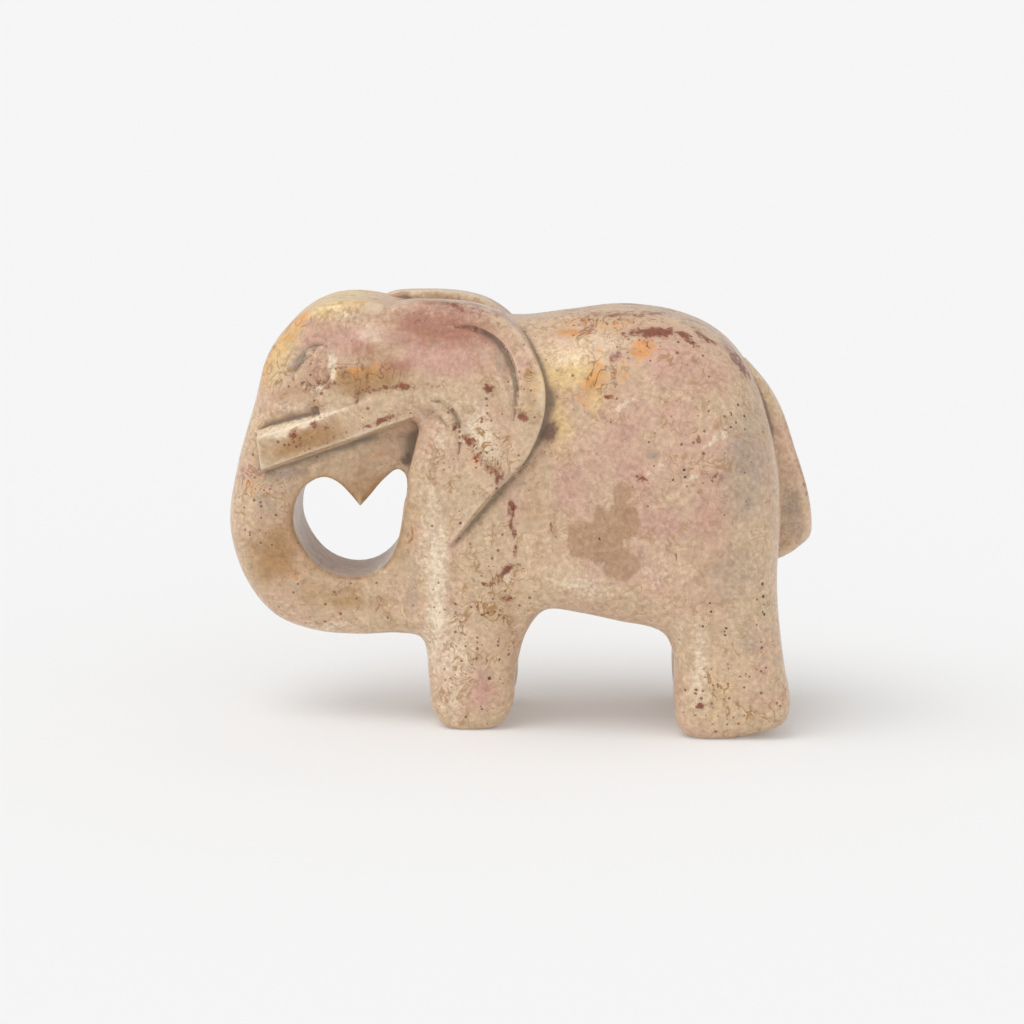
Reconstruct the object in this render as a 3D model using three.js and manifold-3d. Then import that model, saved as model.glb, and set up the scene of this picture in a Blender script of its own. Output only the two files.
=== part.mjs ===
import * as THREE from 'three';
import { mergeVertices } from 'three/addons/utils/BufferGeometryUtils.js';
import Module from 'manifold-3d';

// Soapstone elephant, carved from one block. Millimetres, +Z up, floor at Z = 0.
// The head looks towards -X and the elephant's left side is -Y.

// ---------------------------------------------------------------- named sizes

const STONE_COLOUR = 0xd3b9a0;

// Side view of the whole block as [x, z] stations, clockwise from the brow.
const BROW_TO_NAPE = [[-44.9, 56], [-42.6, 63.8], [-38.3, 69.6], [-33.2, 72.6], [-27.5, 73.2], [-19, 71.6]];
const NAPE_TO_RUMP = [[-10, 69.8], [0, 69.6], [8, 70.6], [17, 71.5], [26.8, 70.1], [34.6, 66.1]];
const RUMP_TO_HOCK = [[39.2, 60.4], [42, 52.6], [43.7, 44], [44.1, 36], [43.6, 28], [43.9, 20]];
const HIND_FOOT = [[45, 12], [46, 6.2], [44.9, 2.4], [38, 0.1], [31, -0.6], [27.2, 1.4], [26.2, 6]];
const BELLY = [[26, 14], [24.2, 17.6], [17, 19], [10, 20.4], [4.6, 20.8], [1.4, 17]];
const FORE_FOOT = [[-0.5, 9.5], [-1.2, 3.4], [-4, 0.1], [-11.4, -0.4], [-14.8, 2.6], [-15.6, 8.5], [-16.8, 15]];
const TRUNK_OUTER = [[-20.5, 15.6], [-28, 15.1], [-35.6, 15.6], [-42.4, 18.4], [-47.4, 24.9], [-49.8, 34], [-48.2, 45]];
const SIDE_VIEW = [
  ...BROW_TO_NAPE, ...NAPE_TO_RUMP, ...RUMP_TO_HOCK, ...HIND_FOOT, ...BELLY, ...FORE_FOOT, ...TRUNK_OUTER,
];

// Heart-shaped opening inside the curled trunk, from the lip's point around and back to it.
const HEART = [
  [-27.1, 37.8], [-29, 40.2], [-31, 42.1], [-33.3, 42.9], [-36, 41.6], [-38, 38.4], [-38.3, 34.4], [-36.9, 30.8],
  [-34.2, 27.6], [-30.3, 25.9], [-26, 26.2], [-22.6, 28.6], [-20.6, 32.8], [-19.6, 38.4], [-19.4, 43], [-20.7, 44.2],
  [-23, 42.6], [-25.2, 40],
];
const HEART_RIM = { face: 9.4, bevel: 1.4, deep: 1.5 };

// Half-width across Y and edge roundness at named places of the side view.
const GIRTHS = {
  forehead: { at: [-41, 61], half: 13.2, round: 6.5 },
  crown: { at: [-30, 69], half: 13.4, round: 6.5 },
  cheek: { at: [-29, 60], half: 14, round: 5 },
  cheekLow: { at: [-27, 53], half: 14, round: 5 },
  temple: { at: [-19, 62], half: 13.6, round: 5 },
  nape: { at: [-12, 68], half: 11.8, round: 6 },
  trunkRoot: { at: [-45.5, 50], half: 12, round: 6 },
  trunkFront: { at: [-45, 41], half: 10, round: 5.5 },
  trunkBend: { at: [-44, 27], half: 9.2, round: 5.2 },
  trunkUnder: { at: [-33, 20], half: 8.8, round: 5 },
  trunkEnd: { at: [-22.5, 20], half: 9.8, round: 4.6 },
  jaw: { at: [-32, 41], half: 9.6, round: 4 },
  lowerLip: { at: [-24, 34], half: 9.2, round: 4 },
  legFront: { at: [-13.5, 47], half: 17.4, round: 5 },
  legFrontLow: { at: [-13, 37], half: 17.2, round: 5 },
  elbow: { at: [-11, 26], half: 15.8, round: 5 },
  neck: { at: [-3, 56], half: 15.5, round: 8 },
  shoulder: { at: [1, 38], half: 15.9, round: 7 },
  withers: { at: [6, 64], half: 15.2, round: 13 },
  foreShin: { at: [-8, 14], half: 13.6, round: 4.6 },
  foreSole: { at: [-8, 1], half: 12.8, round: 3.4 },
  ribs: { at: [14, 42], half: 19.4, round: 13 },
  loin: { at: [18, 64], half: 18.8, round: 15 },
  flank: { at: [12, 26], half: 18.6, round: 8 },
  haunch: { at: [31, 44], half: 21.8, round: 14 },
  rump: { at: [32, 60], half: 19.6, round: 14 },
  thigh: { at: [34, 28], half: 21.4, round: 8.6 },
  hindShin: { at: [35, 14], half: 19.6, round: 5.4 },
  hindSole: { at: [36, 1], half: 18.2, round: 3.6 },
  buttock: { at: [42, 42], half: 20, round: 10 },
};
const GIRTH_REACH = 6.2;

// Channels between the left and right legs.
const FORE_SLOT = { from: -30, to: 9, half: 3.4, top: 15.6 };
const HIND_SLOT = { from: 15, to: 60, half: 4.6, top: 18.6 };
const SLOT_RIM = 2.4;

// Tail: a flap on the centre plane, standing behind the haunches, as stations of its rear edge.
const TAIL_REAR = [[37, 64], [42, 58.2], [44.7, 53.4], [46.9, 47], [48.7, 41.4], [49.7, 36], [49.6, 32.6], [47.9, 30.2]];
const TAIL = { front: 38, half: 4.8, taper: 0.05, bevel: 1.7, cleft: 30.2 };

// Ears: flaps with a free top and rear edge. The outer face leans in above EAR_BEND.
const EAR = [
  [-25.4, 66.8], [-23.6, 70.2], [-20.9, 72.7], [-14.5, 73.3], [-8, 72.8], [-3.2, 71.2], [1.2, 67.4], [4.1, 61.8],
  [4.7, 57], [3.6, 52], [0.8, 46.6], [-4.4, 39.6], [-9.2, 33.8], [-11.6, 31.8], [-10.6, 37], [-10.4, 46],
  [-13, 54.4], [-22, 58.4],
];
const EAR_FACE = { half: 18.6, at: [4, 56], splay: 0.13, lean: 0.017 };
const EAR_INNER = 6.4;
const FAR_EAR = { drop: 0, shift: -2.3 };

// Flat facets on the sides of the head: half-width at a place, and its slopes along X and Z.
const HEAD_FACET = { half: 12.9, at: [-36, 60], splay: 0.125, lean: -0.278 };
const HEAD_FACET_ZONE = [[-60, 57], [-60, 90], [-12, 90], [-12, 62], [-16, 58]];

// Notch between crown and ear.
const CROWN_NOTCH = [[-26.6, 75.5], [-25.5, 67.2], [-20.3, 75.5]];
const CROWN_NOTCH_FLOOR = 7.6;

// Tusks: square bars laid back along the cheek.
const TUSK = { tip: [-43.9, 48.1], root: [-17, 57.7], height: 6.5, rootHeight: 6, face: 13.3, rootFace: 15.2, inner: 6 };
const TUSK_TOP_CHAMFER = 1.1;
const TUSK_UNDERCUT = 1.6;

// Recess under the tusk, down to the jaw.
const JAW_RECESS = [[-44, 45.4], [-30, 51.4], [-15.6, 56.4], [-17.6, 46], [-18.6, 37], [-33, 36], [-42, 39]];
const JAW_FACE = { half: 9.2, at: [-22, 45], splay: -0.07, lean: 0 };

// Scoop above the tusk's tip.
const BROW_SCOOP = [[-46, 50], [-43, 54.6], [-41, 56.2], [-38, 56.8], [-33.6, 55.6], [-33, 52]];
const BROW_SCOOP_FACE = { half: 13.3, at: [-40, 56.6], splay: 0.05, lean: 0.5 };

// Carved lines as [x, z] stations with a width, a depth and the apex offset towards the left of travel.
const EAR_CRESCENT = {
  line: [[-10.6, 69.3], [-7.2, 68.4], [-3.9, 66.2], [-1.9, 62.7], [-0.9, 59], [-0.7, 54]],
  width: 3.2, depth: 1.5, lean: 0.3,
};
const EAR_NICK = {
  line: [[-14.6, 57.2], [-12.4, 56.6], [-10.6, 54.4], [-9.9, 51], [-10.1, 47]], width: 1.7, depth: 0.8, lean: 0.2,
};
const EAR_UNDERLINE = {
  line: [[2.6, 47.4], [-1.6, 42.4], [-5.6, 37.6], [-9.2, 33.6], [-12.4, 31.2]], width: 3.4, depth: 1.3, lean: -0.3,
};
const EYE_CUTS = {
  front: { line: [[-37.6, 60.6], [-36.3, 63], [-34.2, 65.7]], width: 1.5, depth: 0.8, lean: 0 },
  back: { line: [[-34.2, 65.7], [-32, 65.6], [-31.5, 62.6], [-31.9, 60.2], [-33.6, 58.4]], width: 1, depth: 0.55, lean: 0 },
  under: { line: [[-33.6, 58.4], [-35.6, 59.2], [-37, 60.8]], width: 0.9, depth: 0.45, lean: 0 },
};
const TAIL_GROOVE = { line: [[39.8, 60], [41.8, 54], [43.3, 47], [44, 40], [44, 33], [43.8, 28.6]], deep: 2.4, wide: 5.6 };

// Surface grid.
const CELL_HEAD = 2.4;
const CELL_BODY = 3.1;
const CELL_ACROSS = 2.9;

// ---------------------------------------------------------------- side outlines

/** A closed smooth outline in the side view, with signed distances (negative inside). */
class Outline {
  constructor(stations, divisions) {
    const nodes = stations.map(([x, z]) => new THREE.Vector3(x, 0, z));
    const curve = new THREE.CatmullRomCurve3(nodes, true, 'centripetal');
    this.points = curve.getPoints(divisions).slice(0, -1).map((p) => [p.x, p.z]);
  }

  distance(x, z) {
    const pts = this.points;
    let best = Infinity;
    let inside = false;
    for (let i = 0, j = pts.length - 1; i < pts.length; j = i, i += 1) {
      const [ax, az] = pts[j];
      const [bx, bz] = pts[i];
      const ex = bx - ax;
      const ez = bz - az;
      const t = Math.min(1, Math.max(0, ((x - ax) * ex + (z - az) * ez) / (ex * ex + ez * ez)));
      const dx = x - ax - t * ex;
      const dz = z - az - t * ez;
      best = Math.min(best, dx * dx + dz * dz);
      if ((az > z) !== (bz > z) && x < ax + ((z - az) / ez) * ex) inside = !inside;
    }
    return (inside ? -1 : 1) * Math.sqrt(best);
  }
}

const sideView = new Outline(SIDE_VIEW, 260);

// ---------------------------------------------------------------- the rounded mass

/** Intersection of two distances with a quarter-round edge of radius r. */
function roundedAnd(a, b, r) {
  const u = Math.max(a + r, 0);
  const v = Math.max(b + r, 0);
  return Math.min(-r, Math.max(a, b)) + Math.hypot(u, v);
}

/** Half-width and roundness at a place of the side view, blended from the named girths. */
function girthAt(x, z) {
  let weight = 0;
  let half = 0;
  let round = 0;
  for (const g of Object.values(GIRTHS)) {
    const d2 = (x - g.at[0]) ** 2 + (z - g.at[1]) ** 2;
    const w = Math.exp(-d2 / (2 * GIRTH_REACH ** 2)) + 1e-9 / (1 + d2);
    weight += w;
    half += w * g.half;
    round += w * g.round;
  }
  return { half: half / weight, round: round / weight };
}

/** Distance to a channel along X with a rounded roof, negative inside it. */
function slotDistance(slot, x, y, z) {
  const across = Math.max(Math.abs(y) - slot.half, Math.max(slot.from - x, x - slot.to));
  return roundedAnd(across, z - slot.top, slot.half * 0.9);
}

/** The rounded stone before any crisp carving, negative inside. */
function massDistance(x, y, z) {
  const { half, round } = girthAt(x, z);
  let f = roundedAnd(sideView.distance(x, z), Math.abs(y) - half, round);
  f = roundedAnd(f, -slotDistance(FORE_SLOT, x, y, z), SLOT_RIM);
  f = roundedAnd(f, -slotDistance(HIND_SLOT, x, y, z), SLOT_RIM);
  return f;
}

/** Grid lines from a to b whose spacing eases from one cell size to another. */
function gridLines(a, b, cellAt) {
  const lines = [a];
  while (lines[lines.length - 1] < b) lines.push(lines[lines.length - 1] + cellAt(lines[lines.length - 1]));
  return lines;
}

/** Gradient of a distance field by central differences. */
function gradient(field, x, y, z) {
  const e = 0.05;
  return [
    (field(x + e, y, z) - field(x - e, y, z)) / (2 * e),
    (field(x, y + e, z) - field(x, y - e, z)) / (2 * e),
    (field(x, y, z + e) - field(x, y, z - e)) / (2 * e),
  ];
}

/** Closed mesh of a distance field: one vertex in each crossed cell, eased onto the surface. */
function surfaceOf(field, xs, ys, zs) {
  const [nx, ny, nz] = [xs.length, ys.length, zs.length];
  const at = (i, j, k) => (i * ny + j) * nz + k;
  const value = new Float64Array(nx * ny * nz);
  for (let i = 0; i < nx; i += 1) {
    for (let j = 0; j < ny; j += 1) {
      for (let k = 0; k < nz; k += 1) value[at(i, j, k)] = field(xs[i], ys[j], zs[k]);
    }
  }
  const corners = [];
  for (let c = 0; c < 8; c += 1) corners.push([c & 1, (c >> 1) & 1, (c >> 2) & 1]);
  const edges = [[0, 1], [2, 3], [4, 5], [6, 7], [0, 2], [1, 3], [4, 6], [5, 7], [0, 4], [1, 5], [2, 6], [3, 7]];
  const cellVertex = new Int32Array(nx * ny * nz).fill(-1);
  const positions = [];
  for (let i = 0; i < nx - 1; i += 1) {
    for (let j = 0; j < ny - 1; j += 1) {
      for (let k = 0; k < nz - 1; k += 1) {
        const v = corners.map(([a, b, c]) => value[at(i + a, j + b, k + c)]);
        let n = 0;
        const p = [0, 0, 0];
        for (const [a, b] of edges) {
          if (v[a] < 0 === v[b] < 0) continue;
          const t = v[a] / (v[a] - v[b]);
          const ca = corners[a];
          const cb = corners[b];
          p[0] += xs[i + ca[0]] + t * (xs[i + cb[0]] - xs[i + ca[0]]);
          p[1] += ys[j + ca[1]] + t * (ys[j + cb[1]] - ys[j + ca[1]]);
          p[2] += zs[k + ca[2]] + t * (zs[k + cb[2]] - zs[k + ca[2]]);
          n += 1;
        }
        if (n === 0) continue;
        let q = p.map((c) => c / n);
        for (let step = 0; step < 3; step += 1) {
          const g = gradient(field, ...q);
          const len2 = Math.max(0.25, g[0] ** 2 + g[1] ** 2 + g[2] ** 2);
          const f = field(...q);
          q = q.map((c, axis) => c - (0.9 * f * g[axis]) / len2);
        }
        cellVertex[at(i, j, k)] = positions.length / 3;
        positions.push(...q);
      }
    }
  }
  const index = [];
  const point = (v) => new THREE.Vector3(positions[3 * v], positions[3 * v + 1], positions[3 * v + 2]);
  const quad = (a, b, c, d, flip) => {
    const ring = flip ? [a, d, c, b] : [a, b, c, d];
    const [p0, p1, p2, p3] = ring.map(point);
    if (p0.distanceTo(p2) < p1.distanceTo(p3)) index.push(ring[0], ring[1], ring[2], ring[0], ring[2], ring[3]);
    else index.push(ring[1], ring[2], ring[3], ring[1], ring[3], ring[0]);
  };
  for (let i = 1; i < nx - 1; i += 1) {
    for (let j = 1; j < ny - 1; j += 1) {
      for (let k = 1; k < nz - 1; k += 1) {
        const here = value[at(i, j, k)] < 0;
        const cell = (a, b, c) => cellVertex[at(i - a, j - b, k - c)];
        if (here !== value[at(i + 1, j, k)] < 0) quad(cell(0, 1, 1), cell(0, 0, 1), cell(0, 0, 0), cell(0, 1, 0), !here);
        if (here !== value[at(i, j + 1, k)] < 0) quad(cell(1, 0, 1), cell(1, 0, 0), cell(0, 0, 0), cell(0, 0, 1), !here);
        if (here !== value[at(i, j, k + 1)] < 0) quad(cell(1, 1, 0), cell(0, 1, 0), cell(0, 0, 0), cell(1, 0, 0), !here);
      }
    }
  }
  const geometry = new THREE.BufferGeometry();
  geometry.setAttribute('position', new THREE.Float32BufferAttribute(positions, 3));
  geometry.setIndex(index);
  return geometry;
}

// ---------------------------------------------------------------- joining and cutting

const wasm = await Module();
wasm.setup();

/** Six times the volume inside a closed indexed geometry, negative when its faces look inwards. */
function signedVolume(geometry) {
  const at = geometry.attributes.position;
  const [a, b, c] = [new THREE.Vector3(), new THREE.Vector3(), new THREE.Vector3()];
  let volume = 0;
  for (let t = 0; t < geometry.index.count; t += 3) {
    a.fromBufferAttribute(at, geometry.index.getX(t));
    b.fromBufferAttribute(at, geometry.index.getX(t + 1));
    c.fromBufferAttribute(at, geometry.index.getX(t + 2));
    volume += a.dot(b.cross(c));
  }
  return volume;
}

/** Turns a closed three.js geometry into a solid that can be joined and cut. */
function solidOf(geometry) {
  const bare = geometry.clone();
  bare.deleteAttribute('normal');
  bare.deleteAttribute('uv');
  const merged = mergeVertices(bare, 1e-4);
  if (signedVolume(merged) < 0) merged.index.array.reverse();
  return new wasm.Manifold(new wasm.Mesh({
    numProp: 3,
    vertProperties: new Float32Array(merged.attributes.position.array),
    triVerts: new Uint32Array(merged.index.array),
  }));
}

/** Turns a solid back into a three.js geometry. */
function geometryOf(solid) {
  const mesh = solid.getMesh();
  const geometry = new THREE.BufferGeometry();
  geometry.setAttribute('position', new THREE.Float32BufferAttribute(mesh.vertProperties, 3));
  geometry.setIndex(Array.from(mesh.triVerts));
  geometry.computeVertexNormals();
  return geometry;
}

/** Mirrors a closed geometry to the other side of the centre plane. */
function mirrored(geometry) {
  return geometry.clone().scale(1, -1, 1);
}

/** Straight prism of a side-view polygon on the left side, from |y| = inner to |y| = outer. */
function sidePrism(polygon, inner, outer) {
  const shape = new THREE.Shape(polygon.map(([x, z]) => new THREE.Vector2(x, z)));
  const prism = new THREE.ExtrudeGeometry(shape, { depth: outer - inner, bevelEnabled: false });
  return prism.rotateX(Math.PI / 2).translate(0, -inner, 0);
}

/** Closed skin through rings of equal length, with a fan over each end. */
function loft(rings) {
  const n = rings[0].length;
  const positions = rings.flat().flatMap((p) => [p.x, p.y, p.z]);
  const index = [];
  for (let r = 0; r < rings.length - 1; r += 1) {
    for (let i = 0; i < n; i += 1) {
      const j = (i + 1) % n;
      index.push(r * n + i, r * n + j, (r + 1) * n + j, r * n + i, (r + 1) * n + j, (r + 1) * n + i);
    }
  }
  const last = (rings.length - 1) * n;
  for (let i = 1; i < n - 1; i += 1) {
    index.push(0, i + 1, i);
    index.push(last, last + i, last + i + 1);
  }
  const geometry = new THREE.BufferGeometry();
  geometry.setAttribute('position', new THREE.Float32BufferAttribute(positions, 3));
  geometry.setIndex(index);
  return geometry;
}

/** Half-width of the ear's outer face at a place of the side view. */
function earFaceAt(x, z) {
  const rise = Math.max(0, z - EAR_FACE.at[1]);
  return EAR_FACE.half + EAR_FACE.splay * (x - EAR_FACE.at[0]) - EAR_FACE.lean * rise * rise;
}

/** Half-width of a flat carved face at a place of the side view. */
function planeAt(face, x, z) {
  return face.half + face.splay * (x - face.at[0]) + face.lean * (z - face.at[1]);
}

/** Half-width of the rounded stone at a place of the side view, found by halving. */
function massFaceAt(x, z) {
  let inner = 0;
  let outer = 26;
  for (let i = 0; i < 24; i += 1) {
    const y = (inner + outer) / 2;
    if (massDistance(x, -y, z) < 0) inner = y;
    else outer = y;
  }
  return inner;
}

/** Smooth line through stations, as points of the side view with a running parameter. */
function lineThrough(stations, divisions) {
  const nodes = stations.map(([x, z]) => new THREE.Vector3(x, 0, z));
  return new THREE.CatmullRomCurve3(nodes, false, 'centripetal').getPoints(divisions);
}

/** Knife for a carved V line that starts and ends in a point, on the left side. */
function carvedLine({ line, width, depth, lean }, faceAt, divisions = 8) {
  const points = lineThrough(line, divisions);
  const rings = points.map((p, i) => {
    const along = points[Math.min(i + 1, divisions)].clone().sub(points[Math.max(i - 1, 0)]).normalize();
    const across = new THREE.Vector3(-along.z, 0, along.x);
    const swell = Math.max(0.05, Math.sin((Math.PI * i) / divisions) ** 0.7);
    const place = (offset, sink) => {
      const at = p.clone().addScaledVector(across, offset * width * swell);
      at.y = -(faceAt(p.x, p.z) - sink);
      return at;
    };
    return [place(-0.5, -2), place(-0.5, 0), place(lean, depth * swell), place(0.5, 0), place(0.5, -2)];
  });
  return loft(rings);
}

/** The ear's flap on the left side: its outline cut from a slab whose face bends inwards at the top. */
function earFlap(drop, shift) {
  const nodes = EAR.map(([x, z]) => new THREE.Vector3(x, 0, z));
  const curve = new THREE.CatmullRomCurve3(nodes, true, 'centripetal');
  const outline = curve.getPoints(44).slice(0, -1).map((p) => {
    const rise = Math.max(0, Math.min(1, (p.z - 50) / 16));
    return [p.x + shift * rise, p.z - drop * rise];
  });
  const blank = solidOf(sidePrism(outline, EAR_INNER, 24));
  const [x0, x1] = [-34, 14];
  const levels = [20, 56, 61, 65.5, 69.5, 73, 80];
  const ring = (x) => [
    ...levels.map((z) => new THREE.Vector3(x, -earFaceAt(x, z), z)),
    new THREE.Vector3(x, 0, 80),
    new THREE.Vector3(x, 0, 20),
  ];
  return blank.intersect(solidOf(loft([ring(x0), ring(x1)])));
}

/** Block over a side-view polygon that planes the left side down to a flat face. */
function planingBlock(outline, face) {
  const inner = outline.map(([x, z]) => new THREE.Vector3(x, -planeAt(face, x, z), z));
  const outer = outline.map(([x, z]) => new THREE.Vector3(x, -30, z));
  return loft([inner, outer]);
}

/** Core that opens the heart right through the stone, with bevelled rims on both sides. */
function heartCore() {
  const rim = lineThrough(HEART, 40).slice(0, -1);
  const centre = new THREE.Vector3(-29, 0, 34.5);
  const ring = (y, grow) => rim.map((p) => {
    const out = p.clone().sub(centre).normalize();
    return p.clone().addScaledVector(out, grow).setY(y);
  });
  const { face, bevel, deep } = HEART_RIM;
  const out = face + 14;
  const rings = [[-out, bevel], [-face, bevel], [-face + deep, 0], [face - deep, 0], [face, bevel], [out, bevel]];
  return loft(rings.map(([y, grow]) => ring(y, grow)));
}

/** A tusk on the left side, with a bevelled top edge and an undercut lower face. */
function tuskBar() {
  const ring = ([x, z], height, face) => {
    const place = (up, y) => new THREE.Vector3(x - 0.12 * up, -y, z + up);
    const half = height / 2;
    return [
      place(half, TUSK.inner),
      place(half, face - 2 * TUSK_TOP_CHAMFER),
      place(half - TUSK_TOP_CHAMFER, face),
      place(-half, face),
      place(-half - TUSK_UNDERCUT, JAW_FACE.half - 0.6),
      place(-half - TUSK_UNDERCUT, TUSK.inner),
    ];
  };
  return loft([ring(TUSK.tip, TUSK.height, TUSK.face), ring(TUSK.root, TUSK.rootHeight, TUSK.rootFace)]);
}

/** The tail's flap: level rings down its rear edge, with the rear corners bevelled. */
function tailFlap() {
  const rings = lineThrough(TAIL_REAR, 10).map((p) => {
    const half = tailHalfAt(p.z);
    const place = (x, y) => new THREE.Vector3(x, y, p.z);
    const back = Math.min(TAIL.front, p.x - 2.5);
    return [
      place(back, -half),
      place(p.x - TAIL.bevel, -half),
      place(p.x - 0.35 * TAIL.bevel, -half + 0.8 * TAIL.bevel),
      place(p.x, -half + 2 * TAIL.bevel),
      place(p.x, half - 2 * TAIL.bevel),
      place(p.x - 0.35 * TAIL.bevel, half - 0.8 * TAIL.bevel),
      place(p.x - TAIL.bevel, half),
      place(back, half),
    ];
  });
  return loft(rings);
}

/** Half-width of the tail at a height. */
function tailHalfAt(z) {
  return TAIL.half - TAIL.taper * (z - TAIL.cleft);
}

/** Cleft between the left haunch and the tail, opening to the rear. */
function tailCleft() {
  const rings = lineThrough(TAIL_GROOVE.line, 6).map((p, i) => {
    const open = Math.max(0.1, Math.min(1, i / 3));
    const side = tailHalfAt(p.z);
    return [
      new THREE.Vector3(p.x - TAIL_GROOVE.deep * open, -side - 0.1, p.z),
      new THREE.Vector3(p.x + 5, -side - 0.02, p.z),
      new THREE.Vector3(p.x + 5, -side - TAIL_GROOVE.wide * open, p.z),
    ];
  });
  return loft(rings);
}

function buildMass() {
  const xs = gridLines(-53, 53, (x) => (x < -2 ? CELL_HEAD : CELL_BODY));
  const half = gridLines(1.2, 25, () => CELL_ACROSS);
  const ys = [...half.map((y) => -y).reverse(), ...half];
  const zs = gridLines(-5.2, 77, (z) => (z > 24 ? CELL_HEAD : CELL_ACROSS));
  return solidOf(surfaceOf(massDistance, xs, ys, zs));
}

/** Cuts or joins a left-side geometry on both sides of the stone. */
function onBothSides(stone, action, geometry) {
  return stone[action](solidOf(geometry))[action](solidOf(mirrored(geometry)));
}

function buildElephant() {
  let stone = buildMass();
  stone = onBothSides(stone, 'subtract', planingBlock(HEAD_FACET_ZONE, HEAD_FACET));
  stone = onBothSides(stone, 'subtract', planingBlock(JAW_RECESS, JAW_FACE));
  stone = onBothSides(stone, 'subtract', planingBlock(BROW_SCOOP, BROW_SCOOP_FACE));
  stone = stone.subtract(solidOf(heartCore()));
  stone = stone.add(earFlap(0, 0));
  const farEar = geometryOf(earFlap(FAR_EAR.drop, FAR_EAR.shift));
  stone = stone.add(solidOf(mirrored(farEar)));
  stone = onBothSides(stone, 'subtract', sidePrism(CROWN_NOTCH, CROWN_NOTCH_FLOOR, 24));
  stone = onBothSides(stone, 'add', tuskBar());
  stone = stone.add(solidOf(tailFlap()));
  const earSurface = (x, z) => Math.max(earFaceAt(x, z), massFaceAt(x, z));
  const headSurface = (x, z) => Math.min(planeAt(HEAD_FACET, x, z), massFaceAt(x, z));
  stone = onBothSides(stone, 'subtract', carvedLine(EAR_CRESCENT, earFaceAt));
  stone = onBothSides(stone, 'subtract', carvedLine(EAR_NICK, earSurface, 5));
  stone = onBothSides(stone, 'subtract', carvedLine(EAR_UNDERLINE, (x, z) => massFaceAt(x, z) + 0.3));
  for (const cut of Object.values(EYE_CUTS)) {
    stone = onBothSides(stone, 'subtract', carvedLine(cut, headSurface, 4));
  }
  stone = onBothSides(stone, 'subtract', tailCleft());
  const floor = new THREE.BoxGeometry(200, 200, 20).translate(0, 0, -10);
  stone = stone.subtract(solidOf(floor));
  const mesh = new THREE.Mesh(geometryOf(stone), stoneMaterial());
  mesh.name = 'elephant';
  return mesh;
}

function stoneMaterial() {
  return new THREE.MeshStandardMaterial({ color: STONE_COLOUR, roughness: 0.45, metalness: 0 });
}

const part = new THREE.Group();
part.name = 'soapstone_elephant';
part.add(buildElephant());

export default part;
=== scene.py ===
"""A soapstone elephant: one carved and polished stone that stands on its four feet."""
import logging
import math
from dataclasses import dataclass, field
from enum import Enum

import bmesh
import bpy
import numpy as np
from mathutils import Matrix, Vector


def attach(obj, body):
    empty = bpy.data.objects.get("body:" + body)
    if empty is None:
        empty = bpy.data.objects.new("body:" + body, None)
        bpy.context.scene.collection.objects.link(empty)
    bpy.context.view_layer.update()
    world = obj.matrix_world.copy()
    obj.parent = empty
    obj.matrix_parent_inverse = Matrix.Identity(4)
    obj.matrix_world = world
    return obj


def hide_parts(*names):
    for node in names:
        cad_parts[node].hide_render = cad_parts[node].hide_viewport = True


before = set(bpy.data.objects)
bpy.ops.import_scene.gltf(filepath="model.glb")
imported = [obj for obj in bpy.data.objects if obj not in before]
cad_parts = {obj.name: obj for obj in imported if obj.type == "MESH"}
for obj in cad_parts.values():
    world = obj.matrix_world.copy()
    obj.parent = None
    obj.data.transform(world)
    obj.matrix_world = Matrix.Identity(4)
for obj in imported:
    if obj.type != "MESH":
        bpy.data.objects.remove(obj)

MM = 0.001
NODE = "elephant"
log = logging.getLogger("elephant")

Place = tuple[float, float]
Tint = tuple[float, float, float]


def rounded_and(a: np.ndarray, b: np.ndarray, r: float | np.ndarray) -> np.ndarray:
    """Joins two distances as a common part.

    Args:
        a: Distance to the first form, negative inside.
        b: Distance to the second form, negative inside.
        r: Radius of the edge where they meet.

    Returns:
        The distance to what both hold, with a quarter-round edge.
    """
    both = np.minimum(-r, np.maximum(a, b))
    return both + np.hypot(np.maximum(a + r, 0), np.maximum(b + r, 0))


def rounded_or(a: np.ndarray, b: np.ndarray, r: float | np.ndarray) -> np.ndarray:
    """Joins two distances as one form.

    Args:
        a: Distance to the first form, negative inside.
        b: Distance to the second form, negative inside.
        r: Radius of the fillet where they meet.

    Returns:
        The distance to what either holds.
    """
    return -rounded_and(-a, -b, r)


def smooth_curve(stations: list[Place], closed: bool, divisions: int) -> np.ndarray:
    """Draws a smooth line through stations, with centripetal spacing.

    Args:
        stations: Places of the side view that the line goes through.
        closed: Whether the line comes back to its start.
        divisions: How many steps the line is drawn in.

    Returns:
        Points of the side view, one row each.
    """
    nodes = np.array(stations, dtype=float)
    count = len(nodes)
    spans = count if closed else count - 1

    def node(i: int) -> np.ndarray:
        """A station, wrapped round a closed line or reflected past an open one's end."""
        if closed:
            return nodes[i % count]
        if i < 0:
            return 2 * nodes[0] - nodes[1]
        if i >= count:
            return 2 * nodes[-1] - nodes[-2]
        return nodes[i]

    points = []
    for step in range(divisions + (0 if closed else 1)):
        along = spans * step / divisions
        i = min(int(along), spans - 1)
        w = along - i
        p = [node(i + k) for k in (-1, 0, 1, 2)]
        gap = [max(1e-4, math.sqrt(float(np.linalg.norm(p[k + 1] - p[k])))) for k in range(3)]
        lead = (p[1] - p[0]) / gap[0] - (p[2] - p[0]) / (gap[0] + gap[1]) + (p[2] - p[1]) / gap[1]
        tail = (p[2] - p[1]) / gap[1] - (p[3] - p[1]) / (gap[1] + gap[2]) + (p[3] - p[2]) / gap[2]
        lead = lead * gap[1]
        tail = tail * gap[1]
        bend = -3 * p[1] + 3 * p[2] - 2 * lead - tail
        twist = 2 * p[1] - 2 * p[2] + lead + tail
        points.append(p[1] + w * (lead + w * (bend + w * twist)))
    return np.array(points)


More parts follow.
